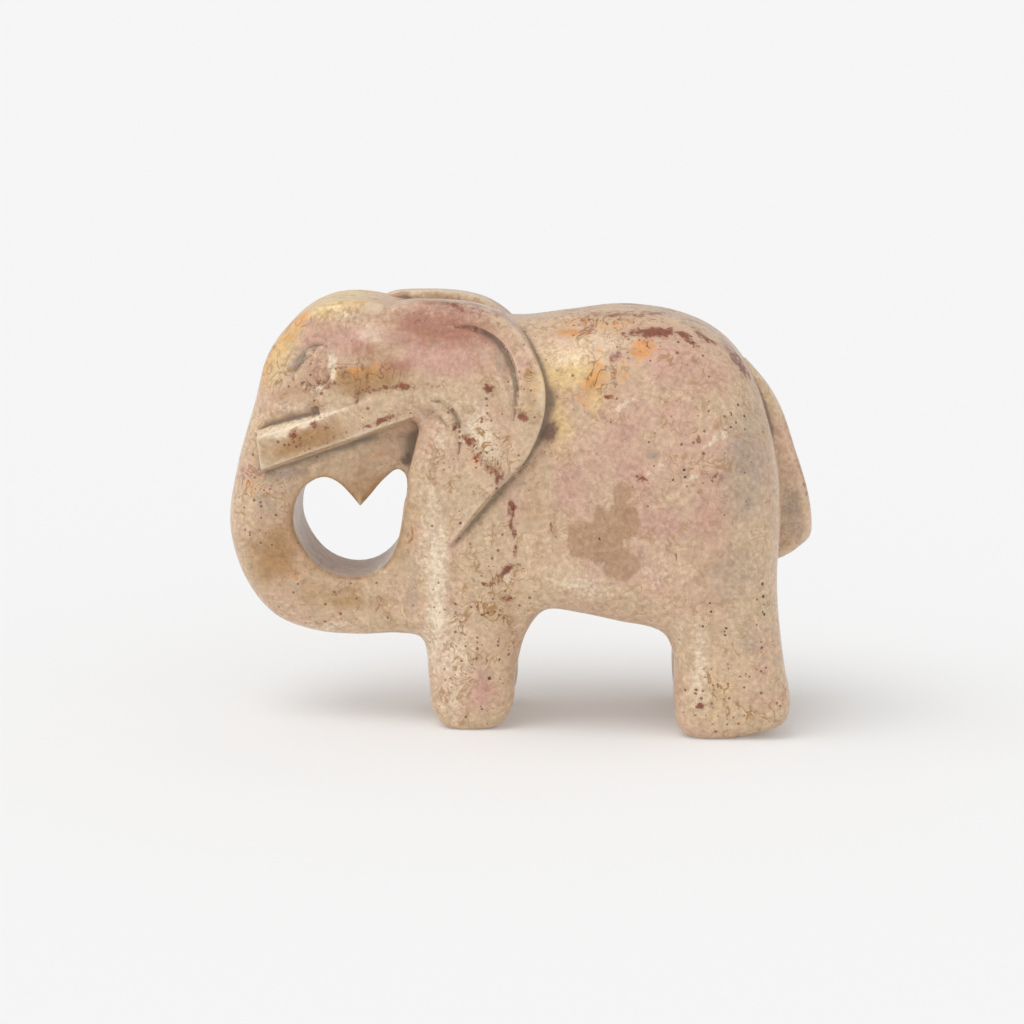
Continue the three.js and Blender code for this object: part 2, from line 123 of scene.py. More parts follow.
def ripple(points: np.ndarray, size: float, seed: int) -> np.ndarray:
    """Smooth noise between -1 and 1.

    Args:
        points: Places in millimetres, one row each.
        size: Width of one wave in millimetres.
        seed: Which of the noises to take.

    Returns:
        One value for each place.
    """
    cell = points / size + seed * 17.31
    low = np.floor(cell).astype(np.int64)
    w = cell - low
    w = w * w * (3 - 2 * w)
    total = np.zeros(len(points))
    for corner in range(8):
        step = np.array([corner & 1, corner >> 1 & 1, corner >> 2 & 1])
        at = low + step
        mixed = (at[:, 0] * 73856093) ^ (at[:, 1] * 19349663) ^ (at[:, 2] * 83492791) ^ (seed * 2654435)
        mixed = (mixed ^ (mixed >> 13)) * 1274126177 & 0x7FFFFFFF
        value = (mixed ^ (mixed >> 16)) % 65536 / 32767.5 - 1
        share = np.prod(np.where(step == 1, w, 1 - w), axis=1)
        total += value * share
    return total


@dataclass
class SideMap:
    """Values over the side view on a fine grid, read back between its lines."""

    low: Place = (-64.0, -14.0)
    high: Place = (64.0, 90.0)
    pitch: float = 0.25
    values: np.ndarray = field(default_factory=lambda: np.zeros((2, 2)))

    def grid(self) -> tuple[np.ndarray, np.ndarray]:
        """X and Z of every place of the grid."""
        xs = np.arange(self.low[0], self.high[0] + self.pitch, self.pitch)
        zs = np.arange(self.low[1], self.high[1] + self.pitch, self.pitch)
        return np.meshgrid(xs, zs, indexing="ij")

    def at(self, x: np.ndarray, z: np.ndarray) -> np.ndarray:
        """Reads the map.

        Args:
            x: X of each place.
            z: Z of each place.

        Returns:
            The value at each place.
        """
        u = np.clip((x - self.low[0]) / self.pitch, 0, self.values.shape[0] - 1.001)
        v = np.clip((z - self.low[1]) / self.pitch, 0, self.values.shape[1] - 1.001)
        i, j = u.astype(np.int64), v.astype(np.int64)
        a, b = u - i, v - j
        grid = self.values
        front = grid[i, j] * (1 - b) + grid[i, j + 1] * b
        back = grid[i + 1, j] * (1 - b) + grid[i + 1, j + 1] * b
        return front * (1 - a) + back * a


def outline_map(points: np.ndarray) -> SideMap:
    """Maps the distance to a closed outline.

    Args:
        points: The outline's points, one row each.

    Returns:
        The map, negative inside the outline.
    """
    chart = SideMap()
    x, z = chart.grid()
    best = np.full(x.shape, np.inf)
    inside = np.zeros(x.shape, dtype=bool)
    for a, b in zip(np.roll(points, 1, axis=0), points):
        ex, ez = b - a
        t = np.clip(((x - a[0]) * ex + (z - a[1]) * ez) / max(1e-12, ex * ex + ez * ez), 0, 1)
        best = np.minimum(best, (x - a[0] - t * ex) ** 2 + (z - a[1] - t * ez) ** 2)
        if a[1] != b[1]:
            crossed = ((a[1] > z) != (b[1] > z)) & (x < a[0] + (z - a[1]) / ez * ex)
            inside ^= crossed
    chart.values = np.where(inside, -1, 1) * np.sqrt(best)
    return chart


@dataclass(frozen=True)
class Girth:
    """Half-width across the stone and roundness of its edge, at a place of the side view."""

    at: Place
    half: float
    round: float


@dataclass(frozen=True)
class LegGap:
    """Channel along X between a left and a right leg."""

    start: float
    end: float
    half: float
    top: float
    rim: float = 2.4

    def distance(self, x: np.ndarray, y: np.ndarray, z: np.ndarray) -> np.ndarray:
        """Distance to the channel, negative inside it."""
        across = np.maximum(y - self.half, np.maximum(self.start - x, x - self.end))
        return rounded_and(across, z - self.top, self.half * 0.9)


@dataclass
class Body:
    """The rounded block before any crisp carving: a side view and girths across it."""

    side_view: list[Place] = field(default_factory=lambda: [
        (-44.9, 56), (-42.6, 63.8), (-38.3, 69.6), (-33.2, 72.6), (-27.5, 73.2), (-19, 71.6),
        (-10, 69.8), (0, 69.6), (8, 70.6), (17, 71.5), (26.8, 70.1), (34.6, 66.1),
        (39.2, 60.4), (42, 52.6), (43.7, 44), (44.1, 36), (43.6, 28), (43.9, 20),
        (45, 12), (46, 6.2), (44.9, 2.4), (38, 0.1), (31, -0.6), (27.2, 1.4), (26.2, 6),
        (26, 14), (24.2, 17.6), (17, 19), (10, 20.4), (4.6, 20.8), (1.4, 17),
        (-0.5, 9.5), (-1.2, 3.4), (-4, 0.1), (-11.4, -0.4), (-14.8, 2.6), (-15.6, 8.5), (-16.8, 15),
        (-20.5, 15.6), (-28, 15.1), (-35.6, 15.6), (-42.4, 18.4), (-47.4, 24.9), (-49.8, 34), (-48.2, 45),
    ])
    girths: list[Girth] = field(default_factory=lambda: [
        Girth((-41, 61), 13.2, 6.5), Girth((-30, 69), 13.4, 6.5), Girth((-29, 60), 14, 5),
        Girth((-27, 53), 14, 5), Girth((-19, 62), 13.6, 5), Girth((-12, 68), 11.8, 6),
        Girth((-45.5, 50), 12, 6), Girth((-45, 41), 10, 5.5), Girth((-44, 27), 9.2, 5.2),
        Girth((-33, 20), 8.8, 5), Girth((-22.5, 20), 9.8, 4.6), Girth((-32, 41), 9.6, 4),
        Girth((-24, 34), 9.2, 4), Girth((-13.5, 47), 17.4, 5), Girth((-13, 37), 17.2, 5),
        Girth((-11, 26), 15.8, 5), Girth((-3, 56), 15.5, 8), Girth((1, 38), 15.9, 7),
        Girth((6, 64), 15.2, 13), Girth((-8, 14), 13.6, 4.6), Girth((-8, 1), 12.8, 3.4),
        Girth((14, 42), 19.4, 13), Girth((18, 64), 18.8, 15), Girth((12, 26), 18.6, 8),
        Girth((31, 44), 21.8, 14), Girth((32, 60), 19.6, 14), Girth((34, 28), 21.4, 8.6),
        Girth((35, 14), 19.6, 5.4), Girth((36, 1), 18.2, 3.6), Girth((42, 42), 20, 10),
    ])
    reach: float = 6.2
    fore_gap: LegGap = LegGap(-30, 9, 3.4, 15.6)
    hind_gap: LegGap = LegGap(15, 60, 4.6, 18.6)

    def __post_init__(self) -> None:
        """Draws the maps that the distance is read from."""
        self.side = outline_map(smooth_curve(self.side_view, True, 260))
        self.half, self.round = SideMap(), SideMap()
        x, z = self.half.grid()
        weight, half, soft = np.zeros(x.shape), np.zeros(x.shape), np.zeros(x.shape)
        for girth in self.girths:
            d2 = (x - girth.at[0]) ** 2 + (z - girth.at[1]) ** 2
            w = np.exp(-d2 / (2 * self.reach ** 2)) + 1e-9 / (1 + d2)
            weight += w
            half += w * girth.half
            soft += w * girth.round
        self.half.values = half / weight
        self.round.values = soft / weight
        self.face = self.face_map()

    def distance(self, x: np.ndarray, y: np.ndarray, z: np.ndarray) -> np.ndarray:
        """Distance to the rounded block, negative inside; y is measured from the centre plane."""
        f = rounded_and(self.side.at(x, z), y - self.half.at(x, z), self.round.at(x, z))
        for gap in (self.fore_gap, self.hind_gap):
            f = rounded_and(f, -gap.distance(x, y, z), gap.rim)
        return f

    def face_map(self) -> SideMap:
        """Maps the block's half-width over the side view, found by halving."""
        chart = SideMap()
        x, z = chart.grid()
        inner, outer = np.zeros(x.shape), np.full(x.shape, 26.0)
        for _ in range(14):
            y = (inner + outer) / 2
            held = self.distance(x, y, z) < 0
            inner = np.where(held, y, inner)
            outer = np.where(held, outer, y)
        chart.values = inner
        return chart


@dataclass
class Facet:
    """A flat face planed into both sides over a zone of the side view."""

    zone: list[Place]
    half: float
    at: Place
    splay: float
    lean: float
    edge: float
    soft_from: float = 99.0
    soft_edge: float = 0.0
    soft_run: float = 5.0

    def __post_init__(self) -> None:
        """Draws the zone's map."""
        self.chart = outline_map(np.array(self.zone, dtype=float))
        self.steep = math.sqrt(1 + self.splay ** 2 + self.lean ** 2)

    def face(self, x: np.ndarray, z: np.ndarray) -> np.ndarray:
        """Half-width of the flat face."""
        return self.half + self.splay * (x - self.at[0]) + self.lean * (z - self.at[1])

    def carve(self, f: np.ndarray, x: np.ndarray, y: np.ndarray, z: np.ndarray) -> np.ndarray:
        """Distance f after the facet is planed."""
        taken = np.maximum(self.chart.at(x, z), (self.face(x, z) - y) / self.steep)
        soft = np.clip((x - self.soft_from) / self.soft_run, 0, 1)
        return rounded_and(f, -taken, self.edge + (self.soft_edge - self.edge) * soft)


@dataclass
class Heart:
    """The heart-shaped opening inside the curled trunk, with its rims rounded."""

    line: list[Place] = field(default_factory=lambda: [
        (-27.1, 37.8), (-29, 40.2), (-31, 42.1), (-33.3, 42.9), (-36, 41.6), (-38, 38.4), (-38.3, 34.4),
        (-36.9, 30.8), (-34.2, 27.6), (-30.3, 25.9), (-26, 26.2), (-22.6, 28.6), (-20.6, 32.8),
        (-19.6, 38.4), (-19.4, 43), (-20.7, 44.2), (-23, 42.6), (-25.2, 40),
    ])
    rim: float = 1.7

    def __post_init__(self) -> None:
        """Draws the opening's map."""
        self.chart = outline_map(smooth_curve(self.line, False, 60))

    def carve(self, f: np.ndarray, x: np.ndarray, z: np.ndarray) -> np.ndarray:
        """Distance f after the opening is cut through."""
        return rounded_and(f, -self.chart.at(x, z), self.rim)


@dataclass
class Ear:
    """A flap on each side with a free top and rear edge; its face leans in towards the top."""

    outline: list[Place] = field(default_factory=lambda: [
        (-25.4, 66.8), (-23.6, 70.2), (-20.9, 72.7), (-14.5, 73.3), (-8, 72.8), (-3.2, 71.2), (1.2, 67.4),
        (4.1, 61.8), (4.7, 57), (3.6, 52), (0.8, 46.6), (-4.4, 39.6), (-9.2, 33.8), (-11.6, 31.8),
        (-10.6, 37), (-10.4, 46), (-13, 54.4), (-22, 58.4),
    ])
    half: float = 18.6
    at: Place = (4, 56)
    splay: float = 0.13
    lean: float = 0.017
    inner: float = 6.4
    far_shift: float = -2.3
    far_low: float = 50.0
    far_rise: float = 16.0
    edge: float = 0.9
    front_start: float = -12.5
    front_run: float = 7.0
    front_top: float = 70.5
    front_fade: float = 4.0
    front_edge: float = 1.6
    front_blend: float = 4.5
    crease: float = 0.15

    def __post_init__(self) -> None:
        """Draws the flap's map."""
        self.chart = outline_map(smooth_curve(self.outline, True, 90))

    def face(self, x: np.ndarray, z: np.ndarray) -> np.ndarray:
        """Half-width of the flap's outer face."""
        rise = np.maximum(0, z - self.at[1])
        return self.half + self.splay * (x - self.at[0]) - self.lean * rise * rise

    def join(self, f: np.ndarray, x: np.ndarray, y: np.ndarray, z: np.ndarray, far: np.ndarray) -> np.ndarray:
        """Distance f after the flap is left standing; far is 1 on the right side of the stone."""
        rise = np.clip((z - self.far_low) / self.far_rise, 0, 1)
        steep = np.sqrt(1 + self.splay ** 2 + (2 * self.lean * np.maximum(0, z - self.at[1])) ** 2)
        front = np.clip((self.front_start - x) / self.front_run, 0, 1)
        front = front * np.clip((self.front_top - z) / self.front_fade, 0, 1)
        edge = self.edge + self.front_edge * front
        side = self.chart.at(x - self.far_shift * rise * far, z)
        flap = rounded_and(side, (y - self.face(x, z)) / steep, edge)
        return rounded_or(f, np.maximum(flap, self.inner - y), self.crease + self.front_blend * front)


@dataclass
class Tusk:
    """A square bar laid back along each cheek, bevelled on top and undercut below."""

    tip: Place = (-43.9, 48.1)
    root: Place = (-17.0, 57.7)
    height: float = 6.5
    root_height: float = 6.0
    face: float = 13.3
    root_face: float = 15.2
    inner: float = 6.0
    chamfer: float = 1.1
    undercut: float = 1.6
    foot: float = 8.6
    edge: float = 0.35
    end_slant: float = 0.12
    crease: float = 0.12
    root_blend: float = 2.6
    root_start: float = 0.62

    def join(self, f: np.ndarray, x: np.ndarray, y: np.ndarray, z: np.ndarray) -> np.ndarray:
        """Distance f after the tusk is left standing."""
        run, lift = self.root[0] - self.tip[0], self.root[1] - self.tip[1]
        t = (x - self.tip[0]) / run
        for _ in range(2):
            up = z - (self.tip[1] + t * lift)
            t = (x + self.end_slant * up - self.tip[0]) / run
        half = 0.5 * (self.height + t * (self.root_height - self.height))
        face = self.face + t * (self.root_face - self.face)
        flat = math.cos(math.atan2(lift, run))
        below = -(up + half + self.undercut * (face - y) / (face - self.foot)) * flat * 0.93
        top = np.maximum((up - half) * flat, (up - half + 0.5 * (y - face + 2 * self.chamfer)) * 0.86)
        bar = rounded_and(rounded_and(top, y - face, self.edge), below, self.edge)
        ends = rounded_and(-t * run * flat, bar, self.edge)
        bar = np.maximum(np.maximum(ends, (t - 1) * run), self.inner - y)
        root = np.clip((t - self.root_start) / (1 - self.root_start), 0, 1)
        return rounded_or(f, bar, self.crease + self.root_blend * root)


@dataclass
class Tail:
    """A flap down the centre plane behind the haunches, with a cleft cut along each side of it."""

    rear: list[Place] = field(default_factory=lambda: [
        (37, 64), (42, 58.2), (44.7, 53.4), (46.9, 47), (48.7, 41.4), (49.7, 36), (49.6, 32.6), (47.9, 30.2),
    ])
    front: float = 38.0
    half: float = 4.8
    taper: float = 0.05
    end: float = 30.2
    end_slant: float = 0.45
    edge: float = 1.9
    end_edge: float = 1.3
    top: float = 64.0
    crease: float = 0.3
    cleft: list[Place] = field(default_factory=lambda: [
        (39.8, 60), (41.8, 54), (43.3, 47), (44, 40), (44, 33), (43.8, 28.6),
    ])
    deep: float = 2.4
    wide: float = 5.6
    cleft_rim: float = 0.35

    def __post_init__(self) -> None:
        """Draws the lines of the rear edge and of the cleft."""
        self.edge_line = smooth_curve(self.rear, False, 60)[::-1]
        self.cleft_line = smooth_curve(self.cleft, False, 40)[::-1]

    def side(self, z: np.ndarray) -> np.ndarray:
        """Half-width of the tail at a height."""
        return self.half - self.taper * (z - self.end)

    def join(self, f: np.ndarray, x: np.ndarray, y: np.ndarray, z: np.ndarray) -> np.ndarray:
        """Distance f after the tail is left standing."""
        rear = np.interp(z, self.edge_line[:, 1], self.edge_line[:, 0])
        slope = np.gradient(self.edge_line[:, 0], self.edge_line[:, 1])
        steep = np.sqrt(1 + np.interp(z, self.edge_line[:, 1], slope) ** 2)
        flap = rounded_and((x - rear) / steep, y - self.side(z), self.edge)
        below = self.end + self.end_slant * (x - self.rear[-1][0]) - z
        flap = rounded_and(flap, below * 0.9, self.end_edge)
        return rounded_or(f, np.maximum(np.maximum(flap, self.front - x), z - self.top), self.crease)

    def carve(self, f: np.ndarray, x: np.ndarray, y: np.ndarray, z: np.ndarray) -> np.ndarray:
        """Distance f after the clefts are cut."""
        line = self.cleft_line
        start = np.interp(z, line[:, 1], line[:, 0])
        top, foot = line[-1, 1], line[0, 1]
        open_share = np.clip((top - z) / (0.5 * (top - foot)), 0.1, 1)
        apex = start - self.deep * open_share
        out = y - self.side(z) - 0.05
        spread = self.wide * open_share / (5 + self.deep * open_share)
        wedge = np.maximum(-out, (out - (x - apex) * spread) / np.sqrt(1 + spread ** 2))
        taken = np.maximum(wedge, np.maximum(z - top, foot - z))
        return rounded_and(f, -taken, self.cleft_rim)


class Ground(Enum):
    """What a carved line is cut into."""

    EAR = "the ear's flat face"
    EAR_OR_BODY = "the ear's face or the block beside it, whichever stands further out"
    BODY = "the rounded block"
    HEAD = "the head's flat facet"


@dataclass
class CarvedLine:
    """A V cut that starts and ends in a point."""

    line: list[Place]
    width: float
    depth: float
    lean: float
    ground: Ground
    proud: float = 0.0
    edge: float = 0.22

    def __post_init__(self) -> None:
        """Draws the line and how it swells towards its middle."""
        self.path = smooth_curve(self.line, False, 48)
        share = np.linspace(0, 1, len(self.path))
        self.swell = np.maximum(0.05, np.sin(np.pi * share) ** 0.7)

    def carve(self, f: np.ndarray, x: np.ndarray, y: np.ndarray, z: np.ndarray, face: np.ndarray) -> np.ndarray:
        """Distance f after the line is cut; face is the ground's half-width along the path."""
        low = self.path.min(axis=0) - 3 * self.width
        high = self.path.max(axis=0) + 3 * self.width
        near = (x > low[0]) & (x < high[0]) & (z > low[1]) & (z < high[1]) & (y > 4)
        if not near.any():
            return f
        px, pz, py = x[near], z[near], y[near]
        best = np.full(px.shape, np.inf)
        offset, swell, level, over = (np.zeros(px.shape) for _ in range(4))
        for i, (a, b) in enumerate(zip(self.path[:-1], self.path[1:])):
            e = b - a
            size = float(np.hypot(*e))
            t = ((px - a[0]) * e[0] + (pz - a[1]) * e[1]) / size ** 2
            held = np.clip(t, 0, 1)
            d2 = (px - a[0] - held * e[0]) ** 2 + (pz - a[1] - held * e[1]) ** 2
            closer = d2 < best
            best = np.where(closer, d2, best)
            side = (e[0] * (pz - a[1]) - e[1] * (px - a[0])) / size
            offset = np.where(closer, side, offset)
            swell = np.where(closer, self.swell[i] + held * (self.swell[i + 1] - self.swell[i]), swell)
            level = np.where(closer, face[i] + held * (face[i + 1] - face[i]), level)
            over = np.where(closer, np.abs(t - held) * size, over)
        place = offset / (self.width * swell)
        wedge = np.minimum((place + 0.5) / (self.lean + 0.5), (0.5 - place) / (0.5 - self.lean))
        sink = self.depth * swell * wedge
        wall = self.depth / (self.width * (0.5 - abs(self.lean)))
        taken = np.maximum((level + self.proud - sink - py) / math.sqrt(1 + wall ** 2), over - 0.02)
        out = f.copy()
        out[near] = rounded_and(f[near], -taken, self.edge)
        return out


@dataclass
class Carving:
    """The whole carved form as one distance, from its named parts."""

    body: Body = field(default_factory=Body)
    heart: Heart = field(default_factory=Heart)
    ear: Ear = field(default_factory=Ear)
    tusk: Tusk = field(default_factory=Tusk)
    tail: Tail = field(default_factory=Tail)
    head_facet: Facet = field(default_factory=lambda: Facet(
        [(-60, 57), (-60, 90), (-12, 90), (-12, 62), (-16, 58)], 12.9, (-36, 60), 0.125, -0.278, 0.7))
    jaw_recess: Facet = field(default_factory=lambda: Facet(
        [(-44, 45.4), (-30, 51.4), (-15.6, 56.4), (-18, 47), (-19.6, 41), (-23, 38), (-33, 36), (-42, 39)],
        9.2, (-22, 45), -0.07, 0, 0.5, -24.0, 2.6))
    crown_notch: Facet = field(default_factory=lambda: Facet(
        [(-31, 75.5), (-25.8, 66.6), (-14, 66.6), (-14, 82), (-31, 82)],
        12.3, (-25.8, 66.6), -0.148, -0.435, 0.4))
    brow_scoop: Facet = field(default_factory=lambda: Facet(
        [(-46, 50), (-43, 54.6), (-41, 56.2), (-38, 56.8), (-33.6, 55.6), (-33, 52)],
        13.3, (-40, 56.6), 0.05, 0.5, 0.35))
    lines: list[CarvedLine] = field(default_factory=lambda: [
        CarvedLine([(-10.6, 69.3), (-7.2, 68.4), (-3.9, 66.2), (-1.9, 62.7), (-0.9, 59), (-0.7, 54)],
                   3.2, 1.5, 0.3, Ground.EAR),
        CarvedLine([(-14.6, 57.2), (-12.4, 56.6), (-10.6, 54.4), (-9.9, 51), (-10.1, 47)],
                   1.7, 0.8, 0.2, Ground.EAR_OR_BODY),
        CarvedLine([(2.6, 47.4), (-1.6, 42.4), (-5.6, 37.6), (-9.2, 33.6), (-12.4, 31.2)],
                   3.4, 1.3, -0.3, Ground.BODY, 0.3),
        CarvedLine([(-37.9, 60.8), (-36.6, 63.2), (-34.4, 65.6), (-32.6, 66.1)], 1.9, 0.85, -0.2, Ground.HEAD),
        CarvedLine([(-33.4, 65.9), (-32, 65.3), (-31.7, 62.6), (-32.1, 60.2), (-33.8, 58.8)],
                   1.4, 0.6, 0.1, Ground.HEAD),
        CarvedLine([(-32.8, 58.6), (-35, 59.2), (-37.2, 61.2)], 1.2, 0.45, 0.1, Ground.HEAD),
    ])
    tool_marks: float = 0.1
    sole_edge: float = 0.3

    def ground(self, kind: Ground, x: np.ndarray, z: np.ndarray) -> np.ndarray:
        """Half-width of what a line is cut into, along its path."""
        block = self.body.face.at(x, z)
        if kind is Ground.EAR:
            return self.ear.face(x, z)
        if kind is Ground.EAR_OR_BODY:
            return np.maximum(self.ear.face(x, z), block)
        if kind is Ground.HEAD:
            return np.minimum(self.head_facet.face(x, z), block)
        return block

    def distance(self, p: np.ndarray) -> np.ndarray:
        """Distance to the finished stone.

        Args:
            p: Places in millimetres, one row each.

        Returns:
            The distance at each place, negative inside.
        """
        x, y, z = p[:, 0], np.abs(p[:, 1]), p[:, 2]
        far = (p[:, 1] > 0).astype(float)
        f = self.body.distance(x, y, z)
        for facet in (self.head_facet, self.jaw_recess, self.brow_scoop, self.crown_notch):
            f = facet.carve(f, x, y, z)
        f = self.heart.carve(f, x, z)
        f = self.ear.join(f, x, y, z, far)
        f = self.tusk.join(f, x, y, z)
        f = self.tail.join(f, x, y, z)
        for line in self.lines:
            face = self.ground(line.ground, line.path[:, 0], line.path[:, 1])
            f = line.carve(f, x, y, z, face)
        f = self.tail.carve(f, x, y, z)
        worn = 0.6 * ripple(p, 9.0, 3) + 0.3 * ripple(p, 4.2, 5) + 0.1 * ripple(p, 2.0, 8)
        f = f + self.tool_marks * (1 + worn) * np.clip(z / 3, 0, 1)
        return rounded_and(f, -z, self.sole_edge)

    def slope(self, p: np.ndarray, step: float = 0.04) -> np.ndarray:
        """Gradient of the distance at each place."""
        parts = []
        for axis in range(3):
            shift = np.zeros(3)
            shift[axis] = step
            parts.append((self.distance(p + shift) - self.distance(p - shift)) / (2 * step))
        return np.stack(parts, axis=1)

    def settle(self, p: np.ndarray, rounds: int = 3, reach: float = 0.7) -> np.ndarray:
        """Moves places onto the stone's surface.

        Args:
            p: Places near the surface, one row each.
            rounds: How often they are moved.
            reach: The longest single move in millimetres.

        Returns:
            The moved places.
        """
        for _ in range(rounds):
            g = self.slope(p)
            size = np.maximum(0.3, (g ** 2).sum(axis=1))
            move = (-self.distance(p) / size)[:, None] * g
            length = np.maximum(1e-9, np.linalg.norm(move, axis=1))
            p = p + move * np.minimum(1, reach / length)[:, None]
        return p


class Mark(Enum):
    """The colours that lie in the stone or on it, each with its own place in the finish; some pale, grey and
    purple patches are painted highlights, reflections and shade.
    """

    PINK = "pink"
    MAUVE = "mauve"
    YELLOW = "yellow"
    OCHRE = "ochre"
    ORANGE = "orange"
    RUST = "rust"
    BROWN = "brown"
    GREY = "grey"
    PALE = "pale"
    PURPLE = "purple"
    FLECKS = "flecks"
    PITS = "pits"


class Reach(Enum):
    """Which side of the stone a patch lies on."""

    LEFT = "left"
    RIGHT = "right"
    THROUGH = "through"


@dataclass(frozen=True)
class Patch:
    """A soft-edged patch of one mark, as an ellipse of the side view."""

    mark: Mark
    at: Place
    size: Place
    turn: float
    strength: float
    reach: Reach


def spread(reach: Reach, marks: dict[Mark, list[tuple[Place, Place, float, float]]]) -> list[Patch]:
    """Makes the patches of one region.

    Args:
        reach: Which side of the stone they lie on.
        marks: Each mark's patches, as place, size, turn and strength.

    Returns:
        The patches.
    """
    return [Patch(mark, *patch, reach) for mark, spots in marks.items() for patch in spots]


def head_patches() -> list[Patch]:
    """Colours of the crown, the cheek, the tusk, the jaw and the trunk."""
    return spread(Reach.LEFT, {
        Mark.ORANGE: [
            ((-38, 68.5), (6, 1.6), 52, 0.75), ((-42.5, 61), (5, 1.3), 72, 0.6),
            ((-24.5, 72.6), (3.4, 0.9), 0, 0.7), ((-26, 61.6), (7, 1.5), 0, 0.6),
            ((-24, 46.6), (1.6, 0.6), 40, 0.7), ((-46, 42), (2.6, 3), 0, 0.45),
            ((-38, 26), (3.4, 2.6), -20, 0.4),
        ],
        Mark.PINK: [
            ((-30, 67), (8, 4.2), 10, 0.8), ((-34, 62), (2.4, 3), 0, 0.7), ((-47, 44), (3, 6), 0, 0.45),
        ],
        Mark.MAUVE: [((-25, 64.5), (5, 2.6), -8, 0.7), ((-21, 62.5), (4, 3), 0, 0.8)],
        Mark.PALE: [
            ((-29, 70.6), (3.6, 1.4), -20, 0.6), ((-38.5, 55.2), (4.5, 1.2), 10, 0.55),
            # The first patch on this line is a painted highlight on the tusk's lit top bevel.
            ((-37, 52.9), (7, 0.7), 19, 1.4), ((-27, 51), (7, 0.5), 20, 0.8),
            ((-31.6, 62.4), (0.6, 3.2), 0, 1.1), ((-34.4, 58.6), (2, 0.6), -10, 1.0),
            # The first patch on this line is a painted highlight on the lit bevel along the bottom rim of the
            # opening.
            ((-27, 27.6), (6, 0.6), 0, 0.7), ((-33, 16.8), (9, 1.2), 0, 0.6),
        ],
        Mark.OCHRE: [
            ((-26, 60.4), (10, 2.6), 0, 0.95), ((-38, 58), (5, 1.8), 10, 0.6),
            ((-36, 49.9), (10, 2.6), 19, 1.0), ((-27, 58.8), (9, 1.4), 2, 0.8), ((-25, 47.4), (7, 4), 15, 0.45),
            ((-27, 41), (3.5, 4), 0, 0.8), ((-41.6, 30), (5, 7), -8, 1.0), ((-31, 22), (9, 3.4), -8, 0.75),
        ],
        Mark.RUST: [
            ((-20, 59), (8, 0.6), 2, 0.7), ((-34, 59), (6, 1.0), 4, 0.5), ((-26.8, 57.4), (0.5, 1.3), 0, 0.8),
            ((-33.8, 53.0), (0.9, 0.7), 0, 1.0), ((-36.4, 49.6), (1.6, 0.8), 0, 0.9),
            ((-37.4, 51.3), (0.8, 0.6), 0, 0.9), ((-31.8, 52.4), (0.9, 0.5), 20, 0.9),
            ((-23.5, 53.6), (3.6, 0.45), 20, 0.9), ((-30, 51.4), (4, 0.4), 20, 0.55),
            ((-35, 27), (4, 0.4), 28, 0.5), ((-24, 21), (0.5, 2.6), -20, 0.5),
            ((-31, 23), (0.5, 2.6), -35, 0.45),
        ],
        Mark.GREY: [
            ((-36.6, 62.8), (2.4, 1.0), 55, 1.2), ((-26.6, 49.6), (3, 0.9), 28, 1.0),
            # The first patch on this line is painted shade in the band just under the tusk's tip.
            ((-39.5, 44.2), (5, 1.2), 6, 1.0), ((-43, 38.4), (2.6, 1.8), 0, 0.7),
        ],
        Mark.PURPLE: [((-19.4, 46.2), (1.1, 1.3), 0, 1.1)],
        Mark.FLECKS: [
            ((-33, 60), (10, 4), 0, 0.7), ((-34, 50.5), (10, 3), 18, 0.9), ((-43, 38), (5, 9), 0, 0.6),
            ((-33, 20), (10, 4), 0, 0.5),
        ],
        Mark.PITS: [((-42.4, 31.4), (1, 1), 0, 1.2)],
    })


def ear_patches() -> list[Patch]:
    """Colours of the left ear."""
    return spread(Reach.LEFT, {
        Mark.MAUVE: [
            ((-19, 67.6), (4, 2.6), 0, 0.85), ((-12, 72), (11, 2.6), -5, 0.9),
            ((-13, 69.2), (11, 3.6), -4, 1.0), ((-13.8, 43.6), (0.9, 2.6), 0, 0.6),
        ],
        Mark.OCHRE: [((-4, 58), (2, 8), 20, 0.5), ((2.4, 59), (1.8, 8), 0, 0.6)],
        Mark.PINK: [((-11, 64), (12, 4.5), -4, 0.85), ((-14, 59), (7, 3), 0, 0.4)],
        Mark.RUST: [
            ((-9, 72.2), (10, 0.9), -8, 0.6), ((-16.6, 71), (1.6, 1.2), 0, 0.6),
            ((-5.1, 59.2), (1.4, 0.9), -10, 1.05), ((1.3, 62.2), (0.8, 1.6), -30, 0.7),
            ((0.9, 55.3), (1.3, 0.8), 0, 0.9), ((-7.4, 51), (3.4, 0.8), -62, 0.85),
            ((-4, 45.6), (3.2, 1.0), -58, 0.95), ((-10.6, 53.4), (0.5, 0.9), 0, 0.9),
        ],
        Mark.ORANGE: [((-4.4, 63.6), (0.8, 2), 0, 0.5), ((-7, 49), (5, 1.6), -60, 0.5)],
        Mark.PALE: [((-0.6, 60), (0.6, 5), 5, 0.8), ((-6, 52), (3, 6), 20, 0.75), ((-13, 50), (2, 6), 0, 0.5)],
        Mark.GREY: [((-3, 63.4), (0.9, 4.5), 15, 0.8)],
        Mark.FLECKS: [((-6, 50), (6, 9), -30, 0.7), ((1.2, 60), (2.4, 7), 0, 0.8), ((-12, 44), (4, 9), 0, 0.5)],
        Mark.PITS: [((-9.4, 38), (0.9, 2), -20, 1.3), ((-18, 71.4), (1.4, 0.8), 40, 1.2)],
    })


